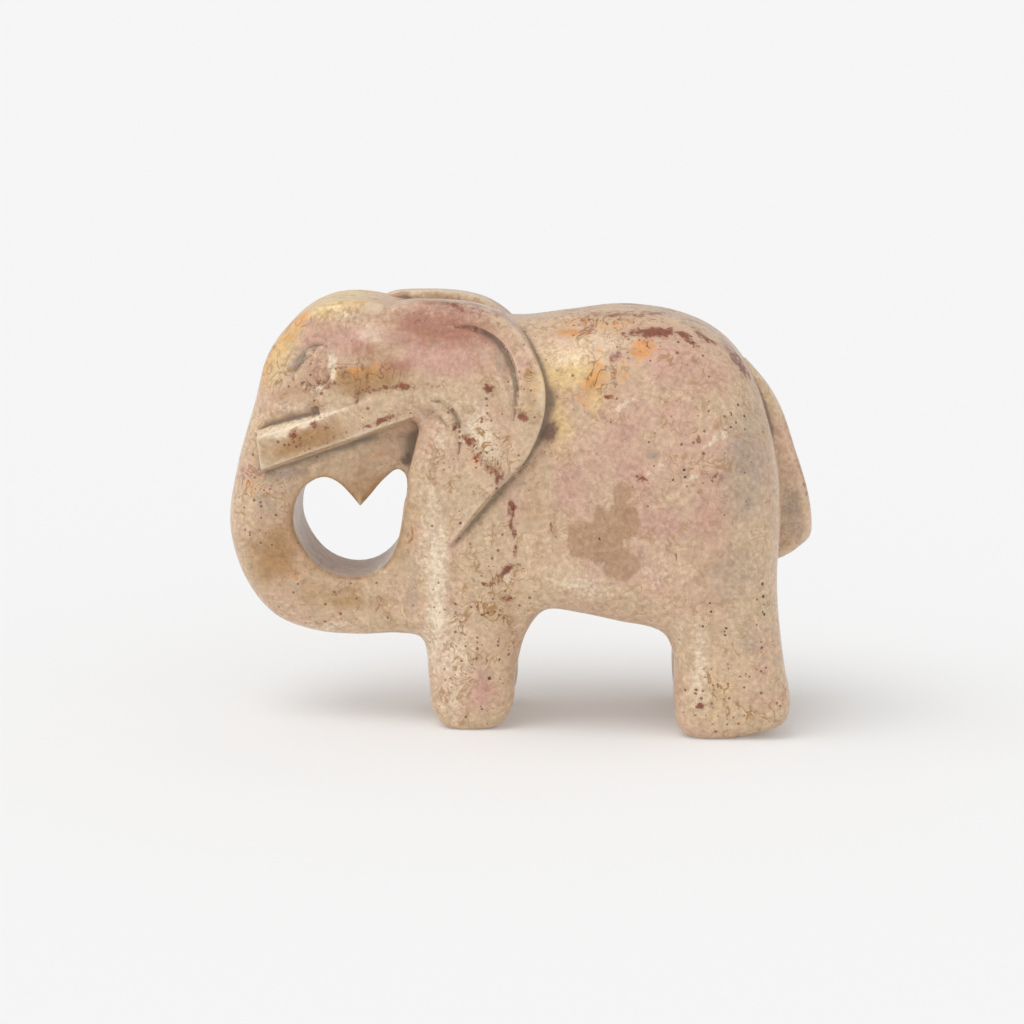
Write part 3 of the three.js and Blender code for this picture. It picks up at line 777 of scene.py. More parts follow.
def body_patches() -> list[Patch]:
    """Colours of the back, the flank, the haunch and the tail."""
    return spread(Reach.LEFT, {
        Mark.PINK: [
            ((20, 49), (17, 13), -20, 0.62), ((15, 32), (15, 6), -3, 0.6), ((27, 63), (12, 5), -22, 0.7),
            ((17, 52), (6, 6), 20, 0.75), ((9.4, 43.6), (5, 7), 10, 0.7), ((26, 55), (6, 6), 0, 0.6),
            ((25, 37), (7, 4.4), -5, 0.8), ((31, 40), (7, 10), 0, 0.7), ((14, 27.4), (10, 2.2), -3, 0.5),
        ],
        Mark.YELLOW: [((8, 62), (7, 5), 20, 0.9), ((6.5, 54), (3, 8), 0, 0.7), ((12.6, 58), (2.6, 5), 0, 0.7)],
        Mark.PALE: [
            ((8, 64), (4, 2), 20, 0.6), ((10, 26.6), (8, 2.6), -4, 0.6), ((24, 29.4), (5, 2.4), -4, 0.45),
            ((17.6, 57.4), (3, 0.8), 35, 0.7), ((22.6, 46.8), (3, 1.0), 30, 0.6),
            ((31.8, 51), (1.8, 0.45), 32, 1.1), ((33.6, 51.8), (0.9, 0.6), 0, 1.0),
            ((28.6, 44.8), (1.2, 0.4), 20, 0.9),
        ],
        Mark.ORANGE: [
            ((8.6, 68.4), (3.6, 0.8), 8, 0.85), ((12.2, 60.4), (1.8, 4.2), -24, 0.8),
            ((20.6, 65.6), (2.1, 1.3), 8, 1.25), ((13.4, 65.6), (0.9, 1.4), 0, 0.8),
            ((16, 62), (6, 4), 20, 0.5),
        ],
        Mark.RUST: [
            ((22.4, 68.2), (3.8, 1.0), 3, 1.05), ((18, 67.8), (1.6, 1.0), 0, 0.7),
            ((16.6, 64.2), (2.2, 0.9), 40, 0.75), ((27.6, 67.2), (2.4, 0.5), -28, 0.8),
            ((31, 67.4), (5, 0.6), -30, 0.75), ((36.4, 62.6), (4.5, 0.6), -50, 0.75),
            ((20.4, 33), (1.8, 0.3), -6, 0.8), ((25.8, 32.8), (0.9, 0.6), 0, 0.85),
            ((27.6, 31.8), (0.6, 0.4), -20, 1.2), ((29.4, 51.8), (0.6, 0.7), 0, 0.9),
            ((20.2, 45.4), (0.9, 0.5), 0, 0.9), ((14.4, 58), (0.6, 0.4), 0, 0.9),
            ((32.8, 45.4), (1.9, 0.5), 4, 0.9), ((5.9, 36), (0.35, 4), -5, 0.7),
        ],
        Mark.PITS: [
            ((13.4, 69.8), (2.2, 0.5), 0, 1.4), ((27, 67.2), (2.4, 0.7), -30, 1.3),
            ((13.4, 34.6), (0.5, 1.6), 30, 1.2), ((36, 51), (3.4, 5), 0, 0.6),
            ((37.2, 48.6), (0.4, 1.4), 0, 1.4), ((27.6, 44.8), (5, 2.4), 0, 0.6),
            ((31, 22), (0.8, 1.8), 0, 1.5), ((30.4, 11), (0.9, 2.2), 0, 1.3),
        ],
        Mark.MAUVE: [
            ((17, 64.6), (3, 2), 20, 0.6), ((34.4, 60), (6, 4), -45, 0.35), ((6.4, 34), (0.9, 7), 0, 0.5),
            ((46.6, 50), (2, 8), 12, 0.5),
        ],
        Mark.OCHRE: [((2.6, 40), (2.6, 8), 0, 0.6), ((24, 52), (1.6, 3), 0, 0.35)],
        Mark.BROWN: [
            ((17.6, 42.7), (1.6, 1.7), 0, 1.1), ((17.8, 38.2), (3.0, 3.2), 0, 1.0),
            ((13.8, 37.4), (2.0, 2.8), 0, 1.0), ((10.4, 34.2), (2.3, 3.4), 0, 1.05),
            ((15, 33.2), (3.6, 3.0), 0, 1.0), ((17.2, 30.4), (3.2, 2.8), 0, 1.0),
        ],
        # This dark patch is a painted shadow along the ear's rear edge, where the ear stands off the body.
        Mark.PURPLE: [((4.8, 52), (1.7, 2.5), -10, 1.0)],
        Mark.GREY: [
            ((37.6, 47), (4.5, 12), 0, 0.8), ((36, 29), (6, 8), 0, 0.6), ((22.4, 49), (1.5, 0.9), 0, 0.8),
            ((38, 40.4), (0.8, 1.4), 0, 1.2), ((46.4, 36.6), (1.8, 5), 0, 0.9),
        ],
        Mark.FLECKS: [((22, 66), (14, 4), -6, 0.6), ((12, 60), (6, 6), 0, 0.4), ((30, 50), (10, 10), 0, 0.35)],
    })


def leg_patches() -> list[Patch]:
    """Colours of the left legs."""
    return spread(Reach.LEFT, {
        Mark.OCHRE: [
            ((32, 28), (6, 24), -6, 0.42), ((-11.5, 13), (2.4, 9), 0, 0.55), ((-3, 20), (2.6, 8), 0, 0.6),
            ((0.6, 26), (1.6, 6), 0, 0.5), ((39, 4), (5, 3), 0, 0.4),
        ],
        Mark.PALE: [
            # The first patch on this line is a painted highlight down the front leg's rounded front corner.
            ((-14, 24), (2.6, 19), 2, 0.85), ((-11, 12), (3.4, 12), 0, 0.7), ((-2, 27.2), (1.6, 0.8), 0, 0.8),
            # A painted highlight down the hind leg's rounded front corner, then a painted reflection of the
            # pale floor on the hind leg's front face.
            ((30.4, 13), (2, 11), 0, 0.65), ((27, 15), (1.2, 8), 0, 0.5),
        ],
        Mark.YELLOW: [((-8, 26), (6, 10), 0, 0.4), ((34, 9), (5, 7), 0, 0.5)],
        # The first grey patch is painted shade where the front leg stands proud of the trunk.
        Mark.GREY: [((-18.4, 26), (1.2, 9), 0, 0.6), ((38.4, 18), (3, 4), 0, 0.6)],
        Mark.ORANGE: [((-17.4, 34), (0.7, 5), -8, 0.5)],
        Mark.PINK: [((-6.2, 6.4), (3.6, 4.4), 0, 0.75), ((40.6, 13), (3, 8), 0, 0.5)],
        Mark.MAUVE: [((-5, 8), (1.8, 2.6), 0, 0.45)],
        Mark.RUST: [
            ((-0.8, 34.6), (0.4, 5), 0, 0.9), ((-0.7, 38.4), (0.6, 1.4), 0, 1.1),
            ((-1.6, 28.4), (1.5, 0.7), 25, 1.15), ((-4.2, 26.8), (1.2, 0.6), 30, 0.8),
            ((-2.4, 23.8), (1.4, 0.7), 0, 0.75), ((30.6, 6.3), (0.6, 0.5), 0, 1.1),
        ],
        Mark.PURPLE: [((-7.2, 27.1), (0.9, 0.45), 0, 0.9)],
        Mark.FLECKS: [((-3.6, 24), (4.4, 9), 0, 1.1), ((-10, 14), (6, 12), 0, 0.5), ((36, 8), (8, 8), 0, 0.8)],
        Mark.PITS: [
            ((-5, 7.6), (2, 4), 0, 0.9), ((34.3, 20), (0.7, 1.6), 0, 2.0), ((33.6, 14.6), (0.6, 4.5), 0, 1.3),
            ((34, 9.4), (1.0, 1.0), 0, 2.0), ((42.3, 5.3), (1.2, 0.7), 0, 1.5), ((40.6, 22), (1, 6), 0, 0.8),
        ],
    })


def through_patches() -> list[Patch]:
    """Colours that run from side to side, over the crown and the back and in the opening."""
    return spread(Reach.THROUGH, {
        Mark.YELLOW: [((-33, 72), (10, 2.2), 8, 1.0), ((-40, 65), (8, 2.6), 60, 0.9)],
        Mark.OCHRE: [((-29.5, 35), (10, 9), 0, 1.3)],
        # Both pale patches are a painted highlight along the top of the back and the crown, where the light
        # from above falls.
        Mark.PALE: [((4, 74), (24, 3.5), 0, 0.75), ((-33, 75), (7, 2), 0, 0.5)],
        Mark.ORANGE: [((13, 70.4), (14, 2.2), 0, 0.5)],
        Mark.PINK: [((0, 69.4), (6, 2.4), 0, 0.45)],
        Mark.RUST: [
            ((19, 70.6), (9, 0.6), 0, 0.6), ((10, 71.5), (12, 1.6), 4, 0.35), ((48, 44), (9, 0.6), -76, 0.6),
        ],
    })


def right_patches() -> list[Patch]:
    """Plainer colours of the right side, in the same family."""
    return spread(Reach.RIGHT, {
        Mark.PINK: [
            ((-14, 65), (14, 6), 0, 0.8), ((24, 50), (14, 12), 25, 0.75), ((8, 36), (7, 8), 0, 0.5),
            ((38, 16), (6, 10), 0, 0.5),
        ],
        Mark.MAUVE: [((-12, 70), (10, 2.6), 0, 0.6)],
        Mark.OCHRE: [((-34, 52), (12, 6), 15, 0.7), ((-40, 28), (7, 9), 0, 0.8)],
        Mark.YELLOW: [((8, 60), (8, 7), 0, 0.7)],
        # Both pale patches are painted highlights down the front and hind legs' rounded front corners.
        Mark.PALE: [((-12, 22), (4, 16), 0, 0.7), ((30, 12), (2, 9), 0, 0.5)],
        Mark.GREY: [((36, 40), (7, 12), 0, 0.6)],
        Mark.ORANGE: [((16, 65), (5, 1.6), 10, 0.6)],
        Mark.RUST: [((26, 66), (6, 0.7), -18, 0.8), ((-6, 50), (5, 0.8), 60, 0.8)],
        Mark.BROWN: [((27, 34), (3.4, 2.6), 0, 1.0), ((22, 31), (2.2, 1.8), 0, 0.9)],
        Mark.FLECKS: [((-5, 34), (8, 20), 0, 0.7), ((34, 12), (9, 12), 0, 0.6)],
        Mark.PITS: [((32, 24), (2, 8), 0, 0.9)],
    })


def patches() -> list[Patch]:
    """All of the stone's patches."""
    regions = (head_patches, ear_patches, body_patches, leg_patches, through_patches, right_patches)
    return [patch for region in regions for patch in region()]


@dataclass(frozen=True)
class Soapstone:
    """Polished and waxed soapstone: sand and pink ground with ochre, rust and grey in it."""

    sand: Tint = (0.66, 0.475, 0.305)
    pink: Tint = (0.60, 0.35, 0.27)
    mauve: Tint = (0.40, 0.165, 0.11)
    yellow: Tint = (0.80, 0.57, 0.27)
    ochre: Tint = (0.42, 0.235, 0.095)
    orange: Tint = (0.68, 0.27, 0.045)
    rust: Tint = (0.19, 0.035, 0.012)
    brown: Tint = (0.45, 0.27, 0.155)
    grey: Tint = (0.44, 0.335, 0.255)
    pale: Tint = (0.86, 0.71, 0.52)
    purple: Tint = (0.13, 0.05, 0.04)
    # A dark tint laid into hollows and creases: painted shade where the stone turns inward.
    hollow_shade: Tint = (0.17, 0.12, 0.085)
    pit: Tint = (0.035, 0.02, 0.015)
    roughness: float = 0.34
    unevenness: float = 0.16
    wax: float = 0.25
    wax_roughness: float = 0.22
    shine: float = 0.36
    grain_depth: float = 0.14
    grain_strength: float = 0.7

    def material(self) -> bpy.types.Material:
        """Lays out the stone's nodes.

        Returns:
            The material.
        """
        stone = bpy.data.materials.new("waxed_soapstone")
        stone.use_nodes = True
        tree = NodeTable(stone.node_tree)
        shader = tree.shader()
        cloud = tree.noise(9, 3, 0.55)
        grain = tree.noise(2.6, 6, 0.68)
        fine = tree.noise(0.8, 4, 0.65)
        vein = tree.noise(1.6, 5, 0.7, 0.6)
        dust = tree.noise(0.3, 2, 0.6)
        # Each colour's mark, the noises that break its edge, and where it starts, is full and stops.
        layers = (
            (Mark.PINK, self.pink, (cloud, 0.7, grain, 0.5), 0.2, 0.85, 1.0),
            (Mark.GREY, self.grey, (cloud, 0.5, grain, 0.6), 0.2, 0.95, 0.9),
            (Mark.MAUVE, self.mauve, (grain, 0.8, vein, 0.4), 0.25, 0.95, 0.9),
            (Mark.YELLOW, self.yellow, (grain, 0.9, fine, 0.4), 0.25, 0.95, 0.95),
            (Mark.OCHRE, self.ochre, (grain, 0.9, fine, 0.4), 0.25, 1.0, 0.95),
            (Mark.PALE, self.pale, (grain, 0.9, fine, 0.7), 0.25, 0.95, 0.9),
            (Mark.ORANGE, self.orange, (vein, 1.8, fine, 0.7), 0.30, 0.95, 0.8),
            (Mark.BROWN, self.brown, (grain, 0.7, fine, 0.3), 0.40, 0.50, 0.8),
            (Mark.PURPLE, self.purple, (vein, 1.0, fine, 0.9), 0.35, 0.85, 0.8),
            (Mark.RUST, self.rust, (vein, 2.0, fine, 1.2), 0.30, 0.85, 0.9),
        )
        sprinkle = tree.edge(tree.plus(tree.times(vein, 0.6), tree.times(fine, 0.4)), 0.52, 0.72, 0.4)
        colour = tree.blend(sprinkle, self.sand, self.pale)
        blush = tree.edge(cloud, 0.42, 0.66, 0.4)
        colour = tree.blend(blush, colour, self.pink)
        for mark, tint, noises, low, high, top in layers:
            colour = tree.blend(tree.edge(tree.worn(mark, *noises), low, high, top), colour, tint)
        colour = tree.shade(colour, fine, 0.76, 1.22)
        colour = tree.shade(colour, vein, 0.84, 1.14)
        colour = tree.shade(colour, cloud, 0.95, 1.05)
        for size, mark, tint, strength in (
            (3.2, Mark.FLECKS, self.ochre, 0.45),
            (2.2, Mark.RUST, self.rust, 0.16),
            (3.7, Mark.ORANGE, self.rust, 0.16),
        ):
            colour = tree.blend(tree.threads(size, 0.05, mark, strength), colour, tint)
        flecks, _ = tree.specks(0.9, Mark.FLECKS, 0.14, 0.8, 0.27)
        colour = tree.blend(tree.times(flecks, 0.85), colour, self.rust)
        pits, hollow = tree.specks(1.1, Mark.PITS, 0.12, 0.8, 0.24)
        colour = tree.blend(pits, colour, self.pit)
        # Hollows and creases, found from the mesh's relief, are darkened towards the dark tint: painted shade.
        hollow_shade = tree.edge(tree.times(tree.attribute("hollow"), tree.plus(0.6, fine)), 0.2, 0.95, 0.75)
        colour = tree.blend(hollow_shade, colour, self.hollow_shade)
        colour = tree.blend(tree.edge(tree.attribute("crest"), 0.25, 1.0, 0.45), colour, self.pale)
        tree.join(colour, shader.inputs["Base Color"])
        uneven = tree.times(tree.plus(grain, -0.5), self.unevenness)
        tree.join(tree.plus(self.roughness, uneven), shader.inputs["Roughness"])
        shader.inputs["Coat Weight"].default_value = self.wax
        shader.inputs["Coat Roughness"].default_value = self.wax_roughness
        shader.inputs["Specular IOR Level"].default_value = self.shine
        height = tree.plus(tree.times(grain, 0.45), tree.times(dust, 0.12))
        height = tree.plus(height, tree.times(hollow, -1.2))
        tree.join(tree.bump(height, self.grain_depth, self.grain_strength), shader.inputs["Normal"])
        return stone


@dataclass
class NodeTable:
    """Short hand for laying out a node tree on object coordinates."""

    tree: bpy.types.NodeTree

    def __post_init__(self) -> None:
        """Clears the tree and puts down the coordinates."""
        self.tree.nodes.clear()
        self.coordinates = self.tree.nodes.new("ShaderNodeTexCoord").outputs["Object"]

    def join(self, value: object, socket: bpy.types.NodeSocket) -> None:
        """Puts a number or another node's output into a socket."""
        if isinstance(value, bpy.types.NodeSocket):
            self.tree.links.new(value, socket)
        elif isinstance(value, tuple):
            socket.default_value = (*value, 1.0)
        else:
            socket.default_value = value

    def shader(self) -> bpy.types.Node:
        """The stone's shader, joined to the output."""
        shader = self.tree.nodes.new("ShaderNodeBsdfPrincipled")
        output = self.tree.nodes.new("ShaderNodeOutputMaterial")
        self.tree.links.new(shader.outputs["BSDF"], output.inputs["Surface"])
        return shader

    def noise(self, size: float, detail: float, rough: float, swirl: float = 0.0) -> bpy.types.NodeSocket:
        """Noise whose waves are so many millimetres wide."""
        node = self.tree.nodes.new("ShaderNodeTexNoise")
        node.inputs["Distortion"].default_value = swirl
        node.inputs["Scale"].default_value = 1 / (size * MM)
        node.inputs["Detail"].default_value = detail
        node.inputs["Roughness"].default_value = rough
        self.tree.links.new(self.coordinates, node.inputs["Vector"])
        return node.outputs["Fac"]

    def sum(self, operation: str, a: object, b: object) -> bpy.types.NodeSocket:
        """A Math node of two values."""
        node = self.tree.nodes.new("ShaderNodeMath")
        node.operation = operation
        self.join(a, node.inputs[0])
        self.join(b, node.inputs[1])
        return node.outputs[0]

    def plus(self, a: object, b: object) -> bpy.types.NodeSocket:
        """a plus b."""
        return self.sum("ADD", a, b)

    def times(self, a: object, b: object) -> bpy.types.NodeSocket:
        """a times b."""
        return self.sum("MULTIPLY", a, b)

    def attribute(self, name: str) -> bpy.types.NodeSocket:
        """The value that the mesh carries under a name."""
        node = self.tree.nodes.new("ShaderNodeAttribute")
        node.attribute_name = name
        return node.outputs["Fac"]

    def edge(self, value: object, low: float, high: float, top: float = 1.0) -> bpy.types.NodeSocket:
        """A soft step from 0 at low to top at high."""
        node = self.tree.nodes.new("ShaderNodeMapRange")
        node.interpolation_type = "SMOOTHSTEP"
        self.join(value, node.inputs["Value"])
        node.inputs["From Min"].default_value = low
        node.inputs["From Max"].default_value = high
        node.inputs["To Max"].default_value = top
        return node.outputs["Result"]

    def worn(self, mark: Mark, *noises: object) -> bpy.types.NodeSocket:
        """A mark's share, with its edge broken up by pairs of a noise and its strength."""
        value = self.attribute(mark.value)
        for noise, strength in zip(noises[::2], noises[1::2]):
            value = self.plus(value, self.times(self.plus(noise, -0.5), strength))
        return value

    def blend(self, share: object, under: object, over: object) -> bpy.types.NodeSocket:
        """One colour over another, by a share from 0 to 1."""
        node = self.tree.nodes.new("ShaderNodeMix")
        node.data_type = "RGBA"
        self.join(share, node.inputs[0])
        self.join(under, node.inputs[6])
        self.join(over, node.inputs[7])
        return node.outputs[2]

    def shade(self, colour: object, value: object, low: float, high: float) -> bpy.types.NodeSocket:
        """A colour made darker or lighter by a noise."""
        level = self.tree.nodes.new("ShaderNodeMapRange")
        self.join(value, level.inputs["Value"])
        level.inputs["From Min"].default_value = 0.25
        level.inputs["From Max"].default_value = 0.75
        level.inputs["To Min"].default_value = low
        level.inputs["To Max"].default_value = high
        node = self.tree.nodes.new("ShaderNodeVectorMath")
        node.operation = "SCALE"
        self.join(colour, node.inputs[0])
        self.join(level.outputs["Result"], node.inputs["Scale"])
        return node.outputs[0]

    def specks(
        self, spacing: float, mark: Mark, floor: float, gain: float, radius: float
    ) -> tuple[bpy.types.NodeSocket, bpy.types.NodeSocket]:
        """Scattered round specks.

        Args:
            spacing: Distance between two places for a speck, in millimetres.
            mark: The mark that says how many places hold one.
            floor: The share of places that hold one where the mark is absent.
            gain: How much the mark adds to it.
            radius: A speck's largest radius, as a share of the spacing.

        Returns:
            The specks' share of the colour, and their depth.
        """
        node = self.tree.nodes.new("ShaderNodeTexVoronoi")
        node.inputs["Scale"].default_value = 1 / (spacing * MM)
        self.tree.links.new(self.coordinates, node.inputs["Vector"])
        apart = self.tree.nodes.new("ShaderNodeSeparateColor")
        self.tree.links.new(node.outputs["Color"], apart.inputs["Color"])
        share = self.plus(floor, self.times(self.attribute(mark.value), gain))
        held = self.sum("SUBTRACT", share, apart.outputs[0])
        wide = self.times(self.edge(held, 0.0, 0.25), self.times(self.plus(0.35, apart.outputs[1]), radius))
        inside = self.sum("SUBTRACT", wide, node.outputs["Distance"])
        return self.edge(inside, 0.0, 0.07, 0.85), self.edge(inside, -0.02, 0.10)

    def threads(self, size: float, width: float, mark: Mark, floor: float) -> bpy.types.NodeSocket:
        """Thin broken lines that wander through the stone.

        Args:
            size: Distance between two lines, in millimetres.
            width: A line's width, as a share of the noise that it follows.
            mark: The mark that says how strong they are.
            floor: Their strength where the mark is absent.

        Returns:
            The lines' share of the colour.
        """
        wave = self.noise(size, 2.0, 0.55, 1.4)
        line = self.edge(self.sum("ABSOLUTE", self.plus(wave, -0.5), 0.0), width, 0.0)
        broken = self.edge(self.noise(1.3 * size, 1.0, 0.5), 0.50, 0.60)
        return self.times(self.times(line, broken), self.plus(floor, self.attribute(mark.value)))

    def bump(self, height: object, depth: float, strength: float) -> bpy.types.NodeSocket:
        """A relief of so many millimetres."""
        node = self.tree.nodes.new("ShaderNodeBump")
        node.inputs["Strength"].default_value = strength
        node.inputs["Distance"].default_value = depth * MM
        self.join(height, node.inputs["Height"])
        return node.outputs["Normal"]


@dataclass
class Elephant:
    """The carved stone: the node's form, refined to its crisp and rounded edges, and painted."""

    carving: Carving = field(default_factory=Carving)
    finish: Soapstone = field(default_factory=Soapstone)
    voxel: float = 0.31
    most_faces: int = 194000
    longest_pull: float = 0.35
    hold: float = 0.06
    wander: float = 0.8
    relief_depth: float = 0.5
    seam: float = 2.0

    def blank(self) -> bpy.types.Object:
        """Copies the node's form and gives it an even skin of small faces."""
        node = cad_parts[NODE]
        shape = bmesh.new()
        shape.from_mesh(node.data)
        bmesh.ops.remove_doubles(shape, verts=shape.verts, dist=0.002 * MM)
        bmesh.ops.recalc_face_normals(shape, faces=shape.faces)
        mesh = bpy.data.meshes.new("carved_stone")
        shape.to_mesh(mesh)
        shape.free()
        stone = bpy.data.objects.new("carved_stone", mesh)
        bpy.context.scene.collection.objects.link(stone)
        self.apply(stone, "REMESH", mode="VOXEL", voxel_size=self.voxel * MM)
        return stone

    def apply(self, stone: bpy.types.Object, kind: str, **settings: object) -> None:
        """Runs one modifier on the stone and keeps its result."""
        modifier = stone.modifiers.new(kind.lower(), kind)
        for name, value in settings.items():
            setattr(modifier, name, value)
        graph = bpy.context.evaluated_depsgraph_get()
        result = bpy.data.meshes.new_from_object(stone.evaluated_get(graph))
        stone.modifiers.clear()
        old = stone.data
        stone.data = result
        bpy.data.meshes.remove(old)

    def places(self, mesh: bpy.types.Mesh) -> np.ndarray:
        """The mesh's points in millimetres."""
        flat = np.empty(3 * len(mesh.vertices))
        mesh.vertices.foreach_get("co", flat)
        return flat.reshape(-1, 3) / MM

    def put(self, mesh: bpy.types.Mesh, points: np.ndarray) -> None:
        """Moves the mesh's points to these places in millimetres."""
        mesh.vertices.foreach_set("co", (points * MM).ravel())
        mesh.update()

    def carve(self, stone: bpy.types.Object) -> None:
        """Settles the skin onto the carved form and sharpens its edges."""
        points = self.carving.settle(self.places(stone.data))
        for _ in range(2):
            points = self.carving.settle(self.evened(stone.data, points, 2, 0.5), 1)
        self.put(stone.data, points)
        self.sharpen(stone.data)
        share = self.most_faces / max(1, sum(len(p.vertices) - 2 for p in stone.data.polygons))
        if share < 1:
            self.apply(stone, "DECIMATE", ratio=share)

    def evened(self, mesh: bpy.types.Mesh, points: np.ndarray, rounds: int, share: float) -> np.ndarray:
        """Moves each point towards the middle of those that its edges lead to.

        Args:
            mesh: The mesh whose edges are followed.
            points: Its points in millimetres.
            rounds: How often they are moved.
            share: How much of the way they go each time.

        Returns:
            The moved points.
        """
        count = len(points)
        ends = np.empty(2 * len(mesh.edges), dtype=np.int64)
        mesh.edges.foreach_get("vertices", ends)
        a, b = ends.reshape(-1, 2).T
        near = np.maximum(1, np.bincount(a, minlength=count) + np.bincount(b, minlength=count))[:, None]
        even = points
        for _ in range(rounds):
            sums = [np.bincount(a, even[b, k], count) + np.bincount(b, even[a, k], count) for k in range(3)]
            even = (1 - share) * even + share * np.stack(sums, axis=1) / near
        return even

    def sharpen(self, mesh: bpy.types.Mesh) -> None:
        """Moves points near an edge onto it, from the planes of the faces around them."""
        points = self.places(mesh)
        corners = np.empty(len(mesh.loops), dtype=np.int64)
        mesh.loops.foreach_get("vertex_index", corners)
        totals = np.empty(len(mesh.polygons), dtype=np.int64)
        mesh.polygons.foreach_get("loop_total", totals)
        owner = np.repeat(np.arange(len(totals)), totals)
        centre = np.stack([np.bincount(owner, points[corners, k]) for k in range(3)], axis=1) / totals[:, None]
        centre = self.carving.settle(centre, 2)
        normal = self.carving.slope(centre)
        normal /= np.maximum(1e-9, np.linalg.norm(normal, axis=1))[:, None]
        count = len(points)
        n = normal[owner]
        gap = (n * (centre[owner] - points[corners])).sum(axis=1)
        pull = np.stack([np.bincount(corners, n[:, k] * gap, count) for k in range(3)], axis=1)
        form = np.empty((count, 3, 3))
        for i in range(3):
            for j in range(3):
                form[:, i, j] = np.bincount(corners, n[:, i] * n[:, j], count)
        form += self.hold * np.eye(3)
        move = np.linalg.solve(form, pull[:, :, None])[:, :, 0]
        length = np.maximum(1e-9, np.linalg.norm(move, axis=1))
        self.put(mesh, points + move * np.minimum(1, self.longest_pull / length)[:, None])

    def relief(self, mesh: bpy.types.Mesh) -> tuple[np.ndarray, np.ndarray]:
        """Finds hollows and crests.

        Args:
            mesh: The finished stone.

        Returns:
            How hollow and how raised each point lies, from 0 to 1.
        """
        points = self.places(mesh)
        normals = np.empty(3 * len(points))
        mesh.vertices.foreach_get("normal", normals)
        even = self.evened(mesh, points, 30, 0.6)
        lift = ((even - points) * normals.reshape(-1, 3)).sum(axis=1)
        return np.clip(lift / self.relief_depth, 0, 1), np.clip(-lift / self.relief_depth, 0, 1)

    def paint(self, mesh: bpy.types.Mesh) -> None:
        """Writes each mark's share, and the hollows and crests, onto the mesh."""
        points = self.places(mesh)
        warp = [ripple(points, 5.0, seed) + 0.5 * ripple(points, 2.2, seed + 10) for seed in (21, 22, 23)]
        at = points + self.wander * np.stack(warp, axis=1)
        share = {mark: np.zeros(len(points)) for mark in Mark}
        for patch in patches():
            turn = math.radians(patch.turn)
            dx, dz = at[:, 0] - patch.at[0], at[:, 2] - patch.at[1]
            along = (dx * math.cos(turn) + dz * math.sin(turn)) / patch.size[0]
            across = (dz * math.cos(turn) - dx * math.sin(turn)) / patch.size[1]
            value = patch.strength * np.exp(-(along ** 2 + across ** 2) * 0.8)
            if patch.reach is not Reach.THROUGH:
                sign = -1 if patch.reach is Reach.LEFT else 1
                value = value * np.clip(0.5 + sign * points[:, 1] / (2 * self.seam), 0, 1)
            share[patch.mark] = np.maximum(share[patch.mark], value)
        hollow, crest = self.relief(mesh)
        layers = {mark.value: value for mark, value in share.items()} | {"hollow": hollow, "crest": crest}
        for name, value in layers.items():
            layer = mesh.attributes.new(name, "FLOAT", "POINT")
            layer.data.foreach_set("value", value.astype(np.float32))

    def build(self) -> bpy.types.Object:
        """Makes and dresses the stone.

        Returns:
            The finished piece.
        """
        stone = self.blank()
        self.carve(stone)
        self.paint(stone.data)
        stone.data.polygons.foreach_set("use_smooth", [True] * len(stone.data.polygons))
        stone.data.materials.clear()
        stone.data.materials.append(self.finish.material())
        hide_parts(NODE)
        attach(stone, "root")
        log.info("carved stone: %d faces", len(stone.data.polygons))
        return stone


@dataclass(frozen=True)
class Lamp:
    """A broad soft light.

    Its azimuth runs from the front towards the right and its height from the horizon, both in degrees;
    its spread is how wide it looks from the stone.
    """

    name: str
    energy: float
    azimuth: float
    height: float
    spread: float


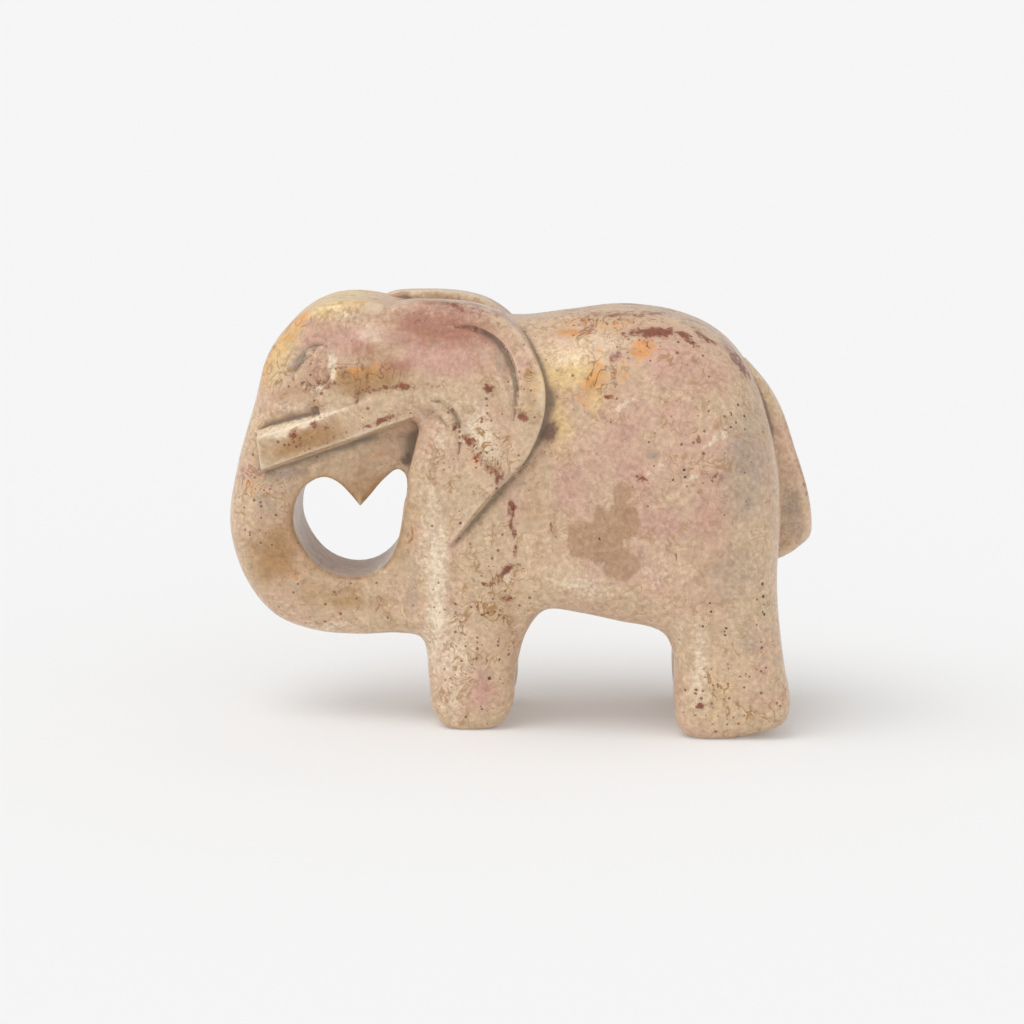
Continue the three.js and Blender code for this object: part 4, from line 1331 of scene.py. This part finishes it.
@dataclass
class Studio:
    """A pale floor, soft light from overhead on the left, and the camera."""

    floor_tint: Tint = (0.745, 0.745, 0.745)
    floor_glow: float = 0.15
    floor_reach: float = 14.0
    target: tuple[float, float, float] = (-1.6 * MM, 0.0, 35.7 * MM)
    away: float = 0.55
    elevation: float = 10.0
    swing: float = 2.0
    lens: float = 112.34
    sky: float = 0.6
    lamps: tuple[Lamp, ...] = (
        Lamp("overhead", 1.0, -45, 64, 38),
        Lamp("left", 0.5, -80, 32, 60),
        Lamp("front", 0.24, 8, 22, 60),
        Lamp("right", 0.2, 80, 30, 60),
    )

    def floor(self) -> bpy.types.Object:
        """A wide pale floor under the feet."""
        shape = bmesh.new()
        bmesh.ops.create_grid(shape, x_segments=1, y_segments=1, size=self.floor_reach)
        mesh = bpy.data.meshes.new("floor")
        shape.to_mesh(mesh)
        shape.free()
        floor = bpy.data.objects.new("floor", mesh)
        bpy.context.scene.collection.objects.link(floor)
        paper = bpy.data.materials.new("pale_paper")
        paper.use_nodes = True
        shader = paper.node_tree.nodes["Principled BSDF"]
        shader.inputs["Base Color"].default_value = (*self.floor_tint, 1)
        shader.inputs["Emission Color"].default_value = (1, 1, 1, 1)
        shader.inputs["Emission Strength"].default_value = self.floor_glow
        shader.inputs["Roughness"].default_value = 0.9
        shader.inputs["Specular IOR Level"].default_value = 0.0
        mesh.materials.append(paper)
        return floor

    def light(self, lamp: Lamp) -> None:
        """Hangs one light so that it shines at the stone."""
        data = bpy.data.lights.new(lamp.name, "SUN")
        data.energy = lamp.energy
        data.angle = math.radians(lamp.spread)
        light = bpy.data.objects.new(lamp.name, data)
        bpy.context.scene.collection.objects.link(light)
        a, h = math.radians(lamp.azimuth), math.radians(lamp.height)
        towards = Vector((math.sin(a) * math.cos(h), -math.cos(a) * math.cos(h), math.sin(h)))
        light.rotation_euler = towards.to_track_quat("Z", "Y").to_euler()

    def camera(self) -> None:
        """The camera, a little above the stone and a little to its rear."""
        data = bpy.data.cameras.new("camera")
        data.lens = self.lens
        data.sensor_width = 36.0
        data.clip_end = 60.0
        camera = bpy.data.objects.new("camera", data)
        bpy.context.scene.collection.objects.link(camera)
        e, s = math.radians(self.elevation), math.radians(self.swing)
        forward = Vector((-math.sin(s) * math.cos(e), math.cos(s) * math.cos(e), -math.sin(e)))
        right = Vector((math.cos(s), math.sin(s), 0))
        up = right.cross(forward)
        turn = Matrix((right, up, -forward)).transposed().to_4x4()
        camera.matrix_world = Matrix.Translation(Vector(self.target) - self.away * forward) @ turn
        bpy.context.scene.camera = camera

    def world(self) -> None:
        """Even light from the room."""
        world = bpy.data.worlds.new("room")
        world.use_nodes = True
        back = world.node_tree.nodes["Background"]
        back.inputs["Color"].default_value = (1, 1, 1, 1)
        back.inputs["Strength"].default_value = self.sky
        bpy.context.scene.world = world

    def build(self) -> None:
        """Sets up the floor, the lights and the camera."""
        self.world()
        self.floor()
        for lamp in self.lamps:
            self.light(lamp)
        self.camera()
        bpy.context.scene.view_settings.view_transform = "Standard"
        log.info("studio: floor, %d lights and the camera", len(self.lamps))


def main() -> None:
    """Builds the stone and the studio."""
    logging.basicConfig(level=logging.INFO, format="%(name)s: %(message)s")
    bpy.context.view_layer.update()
    Elephant().build()
    Studio().build()


if __name__ == "__main__":
    main()
